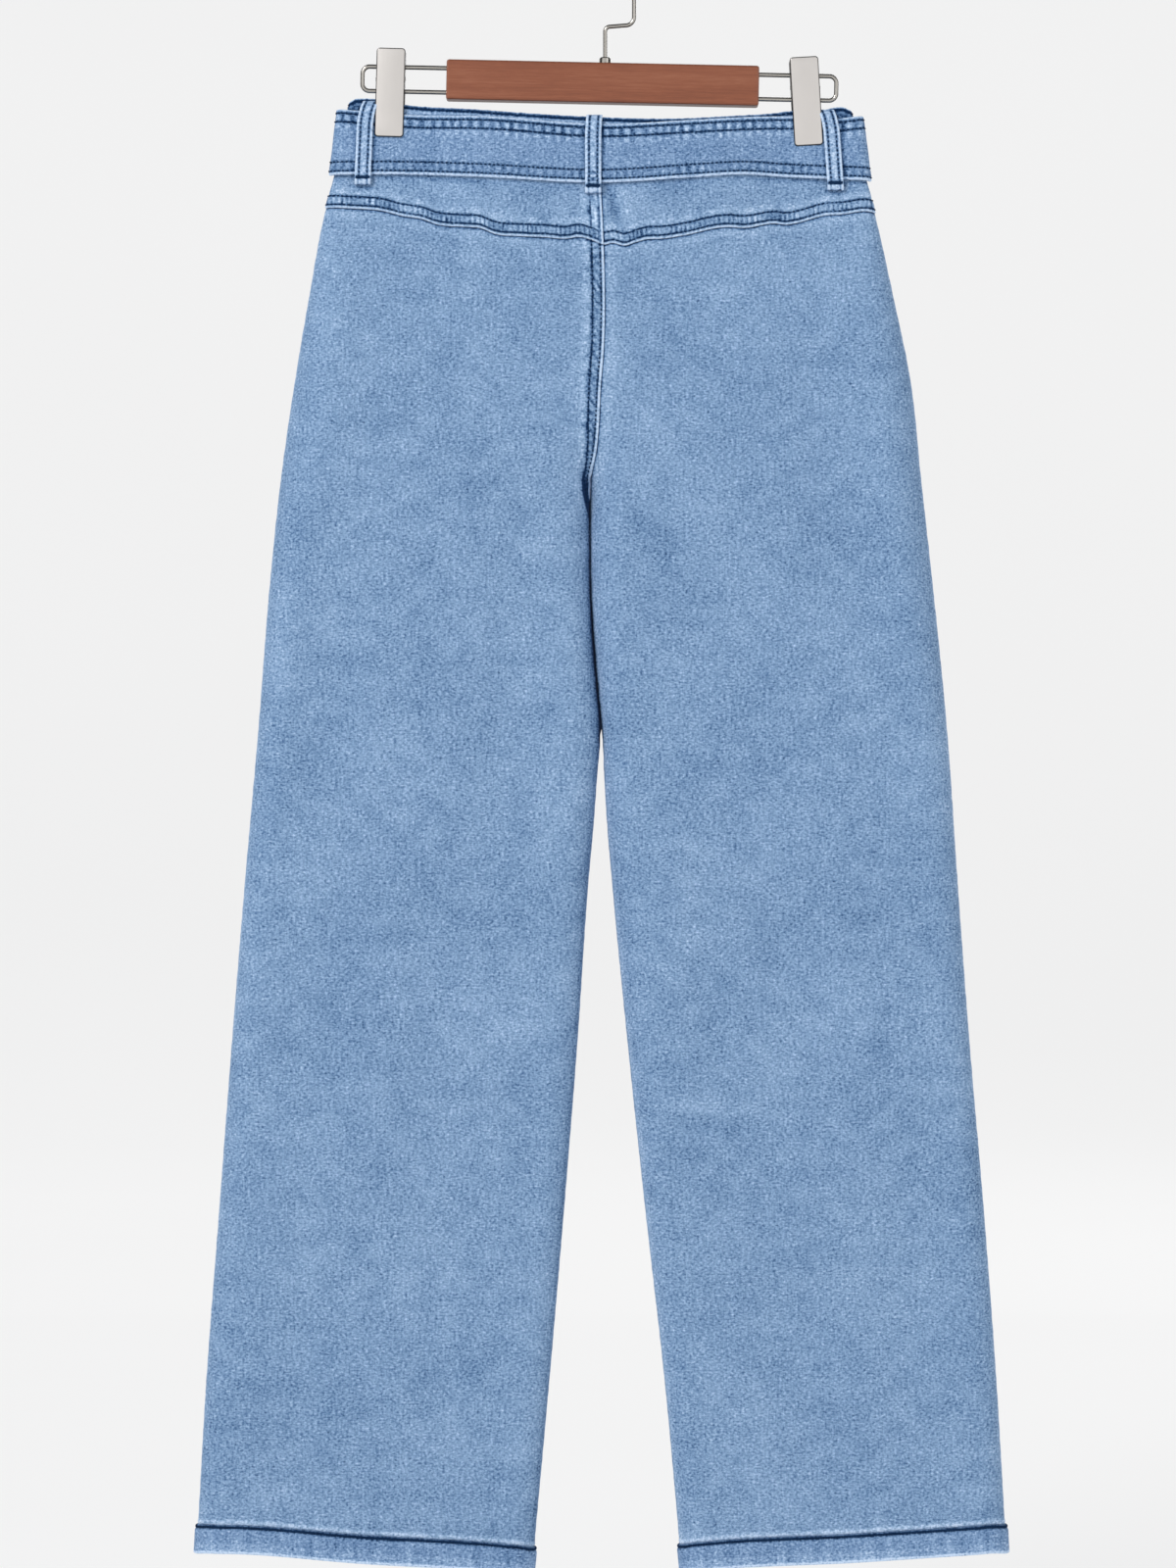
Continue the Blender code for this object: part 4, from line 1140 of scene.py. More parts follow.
class ClothSettings(bpy.types.PropertyGroup):
    """Colours and sizes of the denim and its thread."""

    blue: colour_field("Denim blue", "Middle colour of the legs and the yoke", 0.208, 0.338, 0.538)
    belt_blue: colour_field("Belt blue", "Middle colour of the belt, loops and bands",
                            0.19, 0.312, 0.522)
    # The darkest colour is also what the painted shadows and painted shade go towards.
    dark: colour_field("Unwashed blue", "Colour of the grooves, which the wash didn't reach",
                       0.004, 0.028, 0.095)
    deep: colour_field("Dark fleck", "Colour of the dark flecks", 0.085, 0.175, 0.34)
    pale: colour_field("Pale fleck", "Colour of the pale flecks", 0.36, 0.51, 0.73)
    # The palest colour is also what the painted highlights go towards.
    rubbed: colour_field("Rubbed edge", "Colour of the most rubbed edges", 0.6, 0.745, 0.95)
    reverse: colour_field("Reverse", "Colour of the cloth's inner face", 0.4, 0.47, 0.58)
    thread: colour_field("Thread", "Colour of the sewing thread", 0.002, 0.014, 0.048)
    thread_faded: colour_field("Faded thread", "Colour of the thread where it has faded",
                               0.009, 0.04, 0.11)
    fleck_size: length_field("Fleck size", "Distance from fleck to fleck", 0.0019)
    fleck_contrast: number_field("Fleck contrast", "How much the flecks differ from the denim", 1.0,
                                 max=3.0)
    twill_pitch: length_field("Twill pitch", "Distance between the lines of the twill", 0.0011)
    weave_depth: length_field("Weave depth", "Height of the weave", 0.0004)
    stitch_pitch: length_field("Stitch pitch", "Distance from stitch to stitch", 0.0031)
    stitch_length: length_field("Stitch length", "Length of one stitch", 0.0021)
    thread_width: length_field("Thread width", "Thickness of the thread", 0.0012)


class HangerSettings(bpy.types.PropertyGroup):
    """Colours and finishes of the hanger."""

    wood: colour_field("Wood", "Middle colour of the bar", 0.24, 0.0755, 0.0365)
    wood_dark: colour_field("Dark grain", "Colour of the dark grain", 0.13, 0.04, 0.022)
    wood_light: colour_field("Light grain", "Colour of the light grain", 0.34, 0.135, 0.075)
    nickel: colour_field("Nickel", "Colour of the clips' plating", 0.665, 0.635, 0.61)
    steel: colour_field("Steel", "Colour of the wires", 0.42, 0.4, 0.37)
    nickel_roughness: number_field("Nickel roughness", "How matt the clips are", 0.34, max=1.0)
    spring_turns: IntProperty(name="Spring turns", default=7, min=1, max=20,
                              description="Turns of each clip's spring")


class StageSettings(bpy.types.PropertyGroup):
    """The floor and the lights of the studio."""

    floor: colour_field("Floor", "Colour of the floor and the backdrop", 0.86, 0.86, 0.86)
    floor_glow: number_field("Floor glow", "How much light the floor and the backdrop give", 0.84,
                             max=2.0)
    key: number_field("Key light", "Power of the large light from the upper left", 105.0,
                      unit="POWER")
    fill: number_field("Fill light", "Power of the light from the right", 14.0, unit="POWER")
    rear: number_field("Rear light", "Power of the light behind the object", 40.0, unit="POWER")


SETTINGS = {"jeans_cloth": ClothSettings, "jeans_hanger": HangerSettings,
            "jeans_stage": StageSettings}


# --- operators -------------------------------------------------------------------------

def centre_band(z, aside):
    """Relief and wear of the centre back seam's band, by the distance from its edge."""
    width = np.maximum(BAND_WIDTH(z), 0.1)
    past = aside - width
    above = ease((z - BAND_YOKE_Z) / 6)
    inner = window(aside, 3.0, width - 0.4, 0.8)
    knots = blocks(z + 0.35 * aside, 5.6, 0.7)
    ticks = np.maximum(0, uneven(z, 9.5, 2.4)) * ease((z + 368) / 14)
    dots = 0.6 + 0.4 * np.sin(2 * pi * z / 3.3)
    relief = window(aside, -0.5, width + 0.4, 0.8) * (0.6 + 0.14 * knots)
    relief -= 0.35 * bell(aside - CENTRE_ROW, 0.8) + 0.4 * bell(past, 0.9)
    relief += 0.25 * bell(past - 4.0, 4.0) * (1 - 2 * ticks)
    wear = 0.95 * near(aside, 1.2, 0.6) - 0.5 * bell(aside + 0.4, 0.5)
    wear += inner * (0.6 * knots + 0.45 * above - 0.15 * ease((BAND_YOKE_Z - z) / 20))
    wear += 0.35 * above * inner * np.sin(2 * pi * z / 4.1 + aside)
    wear -= 1.1 * bell(aside - CENTRE_ROW, 0.75) * ease((width - 2) / 2) * dots
    wear -= (1.3 - 0.45 * above * dots) * bell(past - 0.1, 0.9 - 0.25 * above)
    wear += 0.42 * bell(past - 4.2, 3.2) * (1 - ticks) - bell(past - 2.4, 1.7) * ticks ** 2
    on = ease((z - BAND_FOOT_Z) / 14)
    return on * relief, on * wear


def painted_shadow_below_belt(x, z, face):
    """Painted shadow under the belt's foot edge and under each loop's foot, as darker values."""
    wear = -0.45 * bell(z - BELT_FOOT[face](x) + 1.4, 1.3)
    for loop in LOOPS:
        if loop.face == face:
            wear -= 0.6 * bell(x - loop.x_foot, 6.5) * bell(z - loop.z_foot + 1.6, 1.7)
    return wear


def painted_shadow_beside_loops(outer):
    """Painted shadow on the belt in strips beside each loop, deeper on its right side."""
    wear = 0 * outer.x
    for loop in LOOPS:
        down = (loop.z_top - outer.z) / (loop.z_top - loop.z_foot)
        aside = outer.x - between(loop.x_top, loop.x_foot, down)
        strips = 0.6 * bell(aside - LOOP_WIDTH / 2 - 1.2, 1.5)
        strips += 0.3 * bell(aside + LOOP_WIDTH / 2 + 1.0, 1.2)
        wear -= strips * (outer.y * FACES[loop.face] > 0)
    return wear


def grooves(relief, wear, distance, rows, depth, darkness, widths=(0.8, 0.9)):
    """Sinks and darkens a piece along its rows of stitches."""
    for row in rows:
        relief -= depth * bell(distance - row, widths[0])
        wear -= darkness * bell(distance - row, widths[1])


class JEANS_OT_legs(bpy.types.Operator):
    """Make the four leg panels, with the felled seam at the centre of the back"""

    bl_idname = "jeans.legs"
    bl_label = "Leg Panels"

    def execute(self, context):
        upper = rows_down(175, 3.2, 1.2, 12, 0)
        lower = rows_down(760, 4.0, 1.1, 0, 7)
        lower[0] += 1
        rows = np.concatenate([upper, lower[:, 1:]], axis=1)
        for side in SIDES:
            for face in FACES:
                self.panel(context.scene.jeans_cloth, face, side, rows)
        return {"FINISHED"}

    def panel(self, cloth, face, side, rows):
        make = partial(leg_cloth, face, side, stations(205, 3.2, 20))
        outer, inner = make(0.0, rows), make(PANEL_WALL, rows)
        x, z, below, above = outer.x, outer.z, outer.below_top, outer.above_foot
        aside, outside = half_edges(x, z, face, side, 0.0)
        seed = {"back": 1.0, "front": 2.3}[face] + (side == "left")
        crease = creased(x, z, face)
        free = ease((CROTCH_Z + 6 - z) / 12)
        relief = soft_edge(below, 1.0, 0.4) + soft_edge(above, 0.8, 0.3)
        relief += crease * rounded(np.minimum(aside, outside) / 12)
        relief += 0.2 * bell(below, 8) * uneven(x, 10.5, seed)
        relief += 0.16 * bell(outside, 10) * uneven(z, 17, seed + 1)
        relief += 0.35 * window(above, 0.2, 3.2, 1.0)
        relief += 0.2 * bell(above, 12) * uneven(x, 15, seed + 2)
        relief += free * 0.15 * bell(aside, 10) * uneven(z, 17, seed + 3)
        # Painted shadow in a thin dark line just under the seam above the panel, and a faint paler
        # strip below it.
        wear = 0.2 * bell(below - 4, 3) - 1.15 * bell(below, 0.95)
        wear += (0.6 + 0.2 * uneven(x, 13, seed)) * window(above, -0.9, 4.1, 1.6)
        wear += 0.1 * bell(above - 9, 8) * uneven(x, 12, seed)
        # Creases darken their troughs and lighten their ridges: painted shade and painted
        # highlights. The belt's painted shadow falls on the panel's top, and the side folds are
        # rubbed paler.
        wear += 0.22 * bell(outside, 1.6) + painted_shadow_below_belt(x, z, face) + 0.3 * crease
        # Painted light and shade at the inner edges below the crotch: the right leg's edge lit, the
        # left leg's shaded, and painted shade down both edges.
        wear += free * (0.3 if side == "right" else -0.3) * bell(aside - 1.5, 1.5)
        shaded = window(z, -575, CROTCH_Z - 12, 16) * (0.5 + 0.5 * ease((-430 - z) / 60))
        wear -= 1.3 * shaded * bell(aside, 1.1)
        sewn_rows = []
        if side == "left":
            # Painted shade along the left leg's inner edge.
            wear -= 0.3 * window(z, -600, -440, 50) * bell(aside, 6)
        if face == "back" and side == "left":
            wear += self.painted_shade_at_crotch(z, aside)
            band_relief, band_wear = centre_band(z, aside)
            relief += band_relief
            wear += band_wear
            sewn_rows = self.centre_rows(outer, inner)
        elif face == "back":
            # A faint paler halo beside the band, and painted shadow along the panel's edge where
            # the band's fold stands over it.
            wear += ease((z + 400) / 20) * (0.22 * bell(aside - 5, 4) - 0.8 * bell(aside, 0.8))
        piece = wall(f"{face}_panel_{side}", outer, inner, relief, wear)
        riding(piece, denim_of(cloth), [f"{face}_leg_{side}"])
        threads = [sewn("stitches_centre_back", sewn_rows, cloth, seed=3)] if sewn_rows else []
        above = f"back_yoke_{side}" if face == "back" else f"waistband_front_{side}"

    @staticmethod
    def painted_shade_at_crotch(z, aside):
        """Painted shadow in the dark wedge of the fold where the band closes at the crotch, and the
        lit edge beside it.
        """
        reach = 6.5 * ease((z + 416) / 34)
        shadow = near(aside - reach, -0.8, 1.2) * window(z, -418, -375, 16)
        lit = near(aside, 1.1, 0.5) * ease((z + 396) / 5)
        return (0.9 * lit * ease((CROTCH_Z + 6 - z) / 4) - 1.7 * shadow * (1 - lit)
                - 0.3 * bell(aside - reach - 1.5, 2.2) * window(z, -404, -352, 18))

    @staticmethod
    def centre_rows(outer, inner):
        """Two rows of stitches beside the centre back seam."""
        found = []
        asides = seam_edges(outer.z, "back", 0.0)[0] - outer.x
        places = np.concatenate([outer.points, outward(outer, inner)], axis=-1)
        for edge, least in ((0.0, CENTRE_ROW), (BAND_WIDTH, 0.5)):
            line = []
            for aside, place in zip(asides, places):
                if place[-1, 2] < BAND_ROWS_FOOT_Z:
                    break
                wanted = max(edge(place[-1, 2]) - 0.2 if edge else 0.0, least)
                order = np.argsort(aside)
                line.append([np.interp(wanted, aside[order], part) for part in place[order].T])
            place, up = np.hsplit(np.array(line), 2)
            found.append((place + 0.55 * up, up))
        return found


class JEANS_OT_yokes(bpy.types.Operator):
    """Make both halves of the back yoke, with a felled and twice stitched lower edge"""

    bl_idname = "jeans.yokes"
    bl_label = "Back Yokes"

    def execute(self, context):
        cloth = context.scene.jeans_cloth
        rows = rows_down(27, 1.6, 0.7, 0, 16)
        insets = (-YOKE_LIFT, PANEL_WALL)
        for side in SIDES:
            make = partial(yoke_cloth, side, stations(160, 1.05, 22))
            outer, inner = (make(inset, rows) for inset in insets)
            x, z, foot = outer.x, outer.z, outer.above_foot
            aside = (SEAM["back"](z) - x) * (1 if side == "left" else -1)
            crease = creased(x, z, "back")
            ribs = blocks(x, 3.4, 1.1) * (0.62 + 0.38 * uneven(x, 27, 2.0))
            relief = soft_edge(foot, 1.0, 0.5) + 0.5 * window(foot, -0.5, YOKE_ROWS[1] + 1, 0.9)
            relief += 0.16 * window(foot, 3, 8, 1.0) * ribs + crease
            relief += 0.35 * bell(foot - 13.5, 4) * uneven(x, 11, 1.9)
            # Rubbed pale lower edge, the belt's painted shadow, and painted shade and highlights
            # from the creases.
            wear = 0.85 * near(foot, 1.1, 0.6) + painted_shadow_below_belt(x, z, "back") + 0.4 * crease
            wear += window(foot, 3.1, 8.0, 0.7) * (0.9 * ribs - 0.08 + 0.3 * uneven(x, 34, 0.6))
            wear += 0.5 * bell(foot - 12.0, 2.6) * (0.6 + 0.5 * uneven(x, 19, 0.8))
            grooves(relief, wear, foot, YOKE_ROWS, 0.4, 1.15)
            if side == "left":
                band_relief, band_wear = centre_band(z, aside)
                relief += band_relief
                crossed = window(foot, -1, YOKE_ROWS[1] + 1.5, 1.0)
                wear *= between(ease((aside - 8) / 3), ease((aside - 2.2) / 1.5), crossed)
                wear += band_wear * (1 - 0.85 * crossed * (aside > 2.2))
            else:
                # Painted shadow along the edge beside the left half's band.
                wear -= 0.8 * bell(aside, 0.8) * (foot > 1.5)
            piece = wall(f"yoke_half_{side}", outer, inner, relief, wear)
            riding(piece, denim_of(cloth), [f"back_yoke_{side}"])
            keep = slice(2, -12) if side == "left" else slice(3, -2)
            paths = [edge_row(make, insets, 1.0, row, 0.35, keep) for row in YOKE_ROWS]
            thread = sewn(f"stitches_yoke_{side}", paths, cloth, seed=5)
        return {"FINISHED"}


class JEANS_OT_waistband(bpy.types.Operator):
    """Make the waistband: its back in one piece and its front in two halves"""

    bl_idname = "jeans.waistband"
    bl_label = "Waistband"

    def execute(self, context):
        cloth = context.scene.jeans_cloth
        rows = rows_down(36, 3.0, 0.7, 10, 0)
        insets = (-WAISTBAND_LIFT, PANEL_WALL)
        for face, half in (("back", None), ("front", "left"), ("front", "right")):
            columns = stations(170 if half else 340, 1.4, 14, half != "right", half != "left")
            make = partial(waistband_cloth, face, half, columns)
            outer, inner = (make(inset, rows) for inset in insets)
            x, top = outer.x, outer.below_top
            rubbed = blocks(x, 7.5, 2.6 if half else 1.3)
            puckered = 1 - window(x, -166, 154, 3)
            relief = soft_edge(top, 1.1, 0.8) + 0.15 * window(top, 3, 9, 1) * rubbed
            relief -= 0.3 * bell(top - WAISTBAND_ROW, 0.8)
            wear = 0.3 * near(top, 0.3, 0.5) - 1.2 * window(top, 0.4, 3.4, 0.8)
            wear += 0.4 * bell(top - 4.4, 0.9) + 0.35 * window(top, 5, 10, 1) * rubbed
            wear += puckered * (1.9 * bell(top, 1.0) - 0.75 - 0.3 * uneven(x, 4.5, 0.7))
            name = "waistband_" + (f"front_half_{half}" if half else "back_band")
            piece = wall(name, outer, inner, relief, wear)
            node = f"waistband_front_{half}" if half else "waistband_back"
            riding(piece, belt_denim_of(cloth), [node])
            path = edge_row(make, insets, 0.0, -WAISTBAND_ROW, ROW_LIFT, slice(3, -3))
            thread = sewn(f"stitches_{name}", [path], cloth, seed=7)
        return {"FINISHED"}


class JEANS_OT_fly(bpy.types.Operator):
    """Make the flap over the zip, with its two curved rows of stitches"""

    bl_idname = "jeans.fly"
    bl_label = "Fly Flap"

    def execute(self, context):
        cloth = context.scene.jeans_cloth
        share = np.linspace(0, 1, 31)
        turned = np.cos(np.linspace(0, pi / 2, 36))[::-1][1:]
        rows = np.concatenate([np.linspace(0, 0.7, 70), 0.7 + 0.3 * turned])[:, None]
        outer, inner = fly_cloth(share, -GAP - FLY_WALL, rows), fly_cloth(share, -GAP, rows)
        edge = outer.points[None, None, :, 0]
        aside = np.min(np.linalg.norm(outer.points[:, :, None] - edge, axis=-1), axis=-1)
        right = outer.x[:, -1:] - outer.x
        relief = soft_edge(aside, 1.0, 0.7) + soft_edge(right, 1.0, 0.6) * (share > 0.5)
        relief += soft_edge(outer.below_top, 0.8, 0.4)
        wear = 1.1 * (near(aside, 1.0, 0.8) + near(right, 1.0, 0.8))
        wear += 0.45 * window(aside, *FLY_ROWS, 0.9) * blocks(outer.z, 7.0, 0.4)
        grooves(relief, wear, aside, FLY_ROWS, 0.25, 1.0, (0.9, 0.95))
        piece = wall("fly_cover", outer, inner, relief, wear)
        riding(piece, denim_of(cloth), ["fly_flap"])
        paths = []
        for distance in FLY_ROWS:
            width = outer.x[:, -1] - outer.x[:, 0]
            at = np.clip(distance / np.maximum(width, 1), 0, 0.9)[:, None]
            lifted = rows * (1 - 0.9 * distance / 160)
            path = fly_cloth(at, -GAP - FLY_WALL - ROW_LIFT, lifted).points[1:, 0]
            paths.append((path, np.tile((0.0, 1.0, 0.0), (len(path), 1))))
        thread = sewn("stitches_fly", paths, cloth, seed=9)
        return {"FINISHED"}


class JEANS_OT_hems(bpy.types.Operator):
    """Make the two hems, each a turned up ring with one thick row of stitches"""

    bl_idname = "jeans.hems"
    bl_label = "Hems"

    def execute(self, context):
        cloth = context.scene.jeans_cloth
        rows = rows_down(20.2, 1.1, 0.6, 3.6, 2.4)
        insets = (-HEM_LIFT, HEM_WALL - HEM_LIFT)
        for side, seed in zip(SIDES, (1.6, 2.2)):
            make = partial(hem_cloth, side, stations(200, 1.7, 14))
            outer, inner = (make(inset, rows) for inset in insets)
            around = laid_flat(outer.points)[..., 0]
            top, foot = outer.below_top, outer.above_foot
            patches = 0.6 * uneven(around, 15, seed) + 0.4 * uneven(around, 6.1, seed + 1)
            relief = soft_edge(top, 0.9, 0.7) + soft_edge(foot, 1.2, 1.0)
            relief += 0.2 * window(top, 3, 19, 4) * patches + 1.1 * ease((top - 1) / 3)
            wear = (0.26 * patches - 0.06) * window(top, 3, 20, 4) + 0.2 * near(foot, 5, 3)
            wear += 0.2 * bell(foot - 7.0, 0.9) + 0.8 * near(foot, 1.7, 0.9)
            grooves(relief, wear, top, [HEM_ROW], 0.35, 1.2, (1.1, 1.25))
            piece = wall(f"hem_turn_{side}", outer, inner, relief, wear, ring=True)
            riding(piece, belt_denim_of(cloth), [f"hem_{side}"])
            ring = [np.concatenate([part, part[:1]])
                    for part in edge_row(make, insets, 0.0, -HEM_ROW)]
            thread = sewn(f"stitches_hem_{side}", [ring], cloth, width=1.7, slant=radians(14),
                          pitch=0.6, seed=11)
        return {"FINISHED"}


class JEANS_OT_belt(bpy.types.Operator):
    """Make the cloth belt, with two rows of stitches along each edge"""

    bl_idname = "jeans.belt"
    bl_label = "Belt"

    def execute(self, context):
        cloth = context.scene.jeans_cloth
        rows = rows_down(42, 1.6, 0.7, 14, 11)
        make = partial(belt_cloth, 1.2)
        insets = (BELT_LIFT, BELT_LIFT - BELT_WALL)
        outer, inner = (make(inset, rows) for inset in insets)
        along = laid_flat(outer.points)[..., 0]
        top, foot = outer.below_top, outer.above_foot
        upper, lower = blocks(along, 7.2, 0.9), blocks(along + 3, 6.3, 2.2)
        fading = 0.62 + 0.38 * uneven(along, 55, 1.4)
        relief = soft_edge(top, 1.0, 0.8) + soft_edge(foot, 1.0, 0.8)
        relief += upper * (0.24 * window(top, 3.2, 8.4, 0.8) + 0.18 * window(top, 9.4, 14.5, 1.5))
        relief += 0.2 * window(foot, 3.3, 8.6, 0.8) * lower
        relief += 0.4 * bell(foot - 20, 9) * uneven(along, 46, 0.3)
        # Rubbed pale edges, and painted shadow beside each loop.
        wear = 0.85 * near(top, 1.0, 0.6) + 0.95 * near(foot, 1.3, 0.6) + painted_shadow_beside_loops(outer)
        wear += window(top, 3.5, 8.3, 0.7) * (0.72 * upper * (0.8 + 0.2 * fading) - 0.05)
        wear += window(top, 9.6, 14.6, 1.5) * (0.34 * upper + 0.14)
        wear += window(foot, 3.4, 8.5, 0.7) * (0.6 * lower * fading - 0.12)
        grooves(relief, wear, top, BELT_TOP_ROWS, 0.35, 1.05)
        grooves(relief, wear, foot, BELT_FOOT_ROWS, 0.35, 0.7)
        piece = wall("belt_strip", outer, inner, relief, wear)
        riding(piece, belt_denim_of(cloth), ["belt"])
        places = [(0.0, -row) for row in BELT_TOP_ROWS] + [(1.0, row) for row in BELT_FOOT_ROWS]
        paths = [edge_row(make, insets, *place, ROW_LIFT, slice(1, -2)) for place in places]
        thread = sewn("stitches_belt", paths, cloth, seed=13)
        return {"FINISHED"}


class JEANS_OT_loops(bpy.types.Operator):
    """Make the five belt loops, each with two rows of stitches and a bar tack at its foot"""

    bl_idname = "jeans.loops"
    bl_label = "Belt Loops"

    def execute(self, context):
        cloth = context.scene.jeans_cloth
        aside = -0.5 * np.cos(np.linspace(0, pi, 23)) * LOOP_WIDTH
        share = np.linspace(0, 1, 72)[:, None]
        for number, loop in enumerate(LOOPS):
            outer, inner = (loop_cloth(loop, aside, share, height) for height in (LOOP_WALL, 0.0))
            top, foot, z = outer.below_top, outer.above_foot, outer.z
            edge = LOOP_WIDTH / 2 - abs(aside) + 0 * outer.x
            relief = soft_edge(edge, 1.1, 0.9) + soft_edge(foot, 1.0, 0.8)
            relief += soft_edge(top, 1.0, 0.8)
            relief += 0.5 * window(foot, -1, 4.0, 0.8) - 0.5 * bell(foot - LOOP_TACK, 1.4)
            wear = 0.5 + 0.15 * uneven(z, 6.5, 1.0 + number)
            if loop.name == "loop_back_centre":
                wear += window(foot, 7, 19, 2.0) * (0.75 * blocks(z, 5.2, 0.5) - 0.55)
            wear *= ease((edge - 3.5) / 0.7)
            grooves(relief, wear, edge, [LOOP_ROW], 0.3, 0.55)
            wear *= 1 - bell(foot - LOOP_TACK, 2.0)
            wear -= 1.2 * bell(foot - LOOP_TACK, 1.5)
            end = window(foot, 0.3, 3.8, 0.7)
            wear = between(wear, 0.95 - 1.1 * bell(edge - 2.4, 0.55), end)
            # Rubbed pale edges down the sides, and painted shade along the loop's foot edge.
            wear += 0.95 * near(edge, 1.3, 0.6) - 0.8 * near(foot, 0.0, 0.6)
            piece = wall(loop.name.replace("loop", "belt_loop"), outer, inner, relief, wear)
            riding(piece, belt_denim_of(cloth), [loop.name])
            self.stitches(loop, cloth, number)
        return {"FINISHED"}

    @staticmethod
    def stitches(loop, cloth, number):
        """The two rows down a loop, and the tack across its foot."""
        def path(aside, share, height):
            strip = partial(loop_cloth, loop, aside, share)
            return path_on(strip(height), strip(0.0))

        down = np.linspace(0.03, 0.9, 60)[:, None]
        half = LOOP_WIDTH / 2 - LOOP_ROW
        rows = [path(np.array([place]), down, LOOP_WALL) for place in (-half, half)]
        long_rows = sewn(f"stitches_{loop.name}", rows, cloth, width=0.95, seed=20 + number)
        reach = np.linspace(-0.5, 0.5, 15) * (LOOP_WIDTH - 2.4)
        tack = np.array([[1 - LOOP_TACK / (loop.z_top - loop.z_foot)]])
        tacks = sewn(f"tack_{loop.name}", [path(reach, tack, LOOP_WALL - 0.2)], cloth,
                     slant=radians(78), pitch=0.24, seed=40 + number)
        return [long_rows, tacks]


class JEANS_OT_wires(bpy.types.Operator):
    """Make the hook and the two rails of the hanger, and give the collar their steel"""

    bl_idname = "jeans.wires"
    bl_label = "Hanger Wires"

    def execute(self, context):
        steel = steel_of(context.scene.jeans_hanger)
        tight, wide = HOOK_BENDS
        path = [(0.0, HOOK_FOOT_Z)]
        path += bend(tight, HOOK_JOG_Z - HOOK_RISE / 2 - tight, tight, pi, pi / 2, 10)
        path += bend(HOOK_RADIUS - wide, HOOK_JOG_Z + HOOK_RISE / 2 + wide, wide, -pi / 2, 0, 12)
        path += bend(0.0, HOOK_CENTRE_Z, HOOK_RADIUS, 0, pi, 48)
        path += [(-HOOK_RADIUS, HOOK_CENTRE_Z - HOOK_TAIL)]
        tube("hook_wire", [(x, 0.0, z) for x, z in path], WIRE_RADIUS, steel, "hook")
        start = BAR_LENGTH / 2 - RAIL_SEAT + GAP
        level = RAIL_HALF_GAP - RAIL_CORNER
        for side, sign in zip(SIDES, (-1, 1)):
            corner = BAR_LENGTH / 2 + RAIL_REACH[side] - RAIL_RADIUS - RAIL_CORNER
            path = [(start, RAIL_HALF_GAP), *bend(corner, level, RAIL_CORNER, pi / 2, 0, 10),
                    *bend(corner, -level, RAIL_CORNER, 0, -pi / 2, 10), (start, -RAIL_HALF_GAP)]
            tube(f"clip_rail_{side}", [in_bar(sign * x, z) for x, z in path], RAIL_RADIUS, steel,
                 f"rail_{side}")
        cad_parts["ferrule"].material_slots[0].material = steel
        return {"FINISHED"}


class JEANS_OT_springs(bpy.types.Operator):
    """Coil the spring of each clip round its pin"""

    bl_idname = "jeans.springs"
    bl_label = "Clip Springs"

    def execute(self, context):
        hanger = context.scene.jeans_hanger
        steel = steel_of(hanger)
        reach = CLIP_WIDTH / 2 + 0.5
        for clip in CLIPS:
            node = f"clip_{clip.side}_spring"
            low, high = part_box(node)
            middle = (low + high) / 2
            spring = grown(f"spring_coil_{clip.side}", bpy.data.meshes.new("spring_start"),
                           "coiled_spring", spring_tree, {
                               "Turns": float(hanger.spring_turns), "Middle": tuple(middle),
                               "Metal": steel, **SPRING_SIZES})
            riding(spring, steel, [node])
            x, _, z = (part / MM for part in middle)
            tube(f"spring_pin_{clip.side}", [(x - reach, 0.0, z), (x + reach, 0.0, z)],
                 PIN_RADIUS, steel, node)
        return {"FINISHED"}


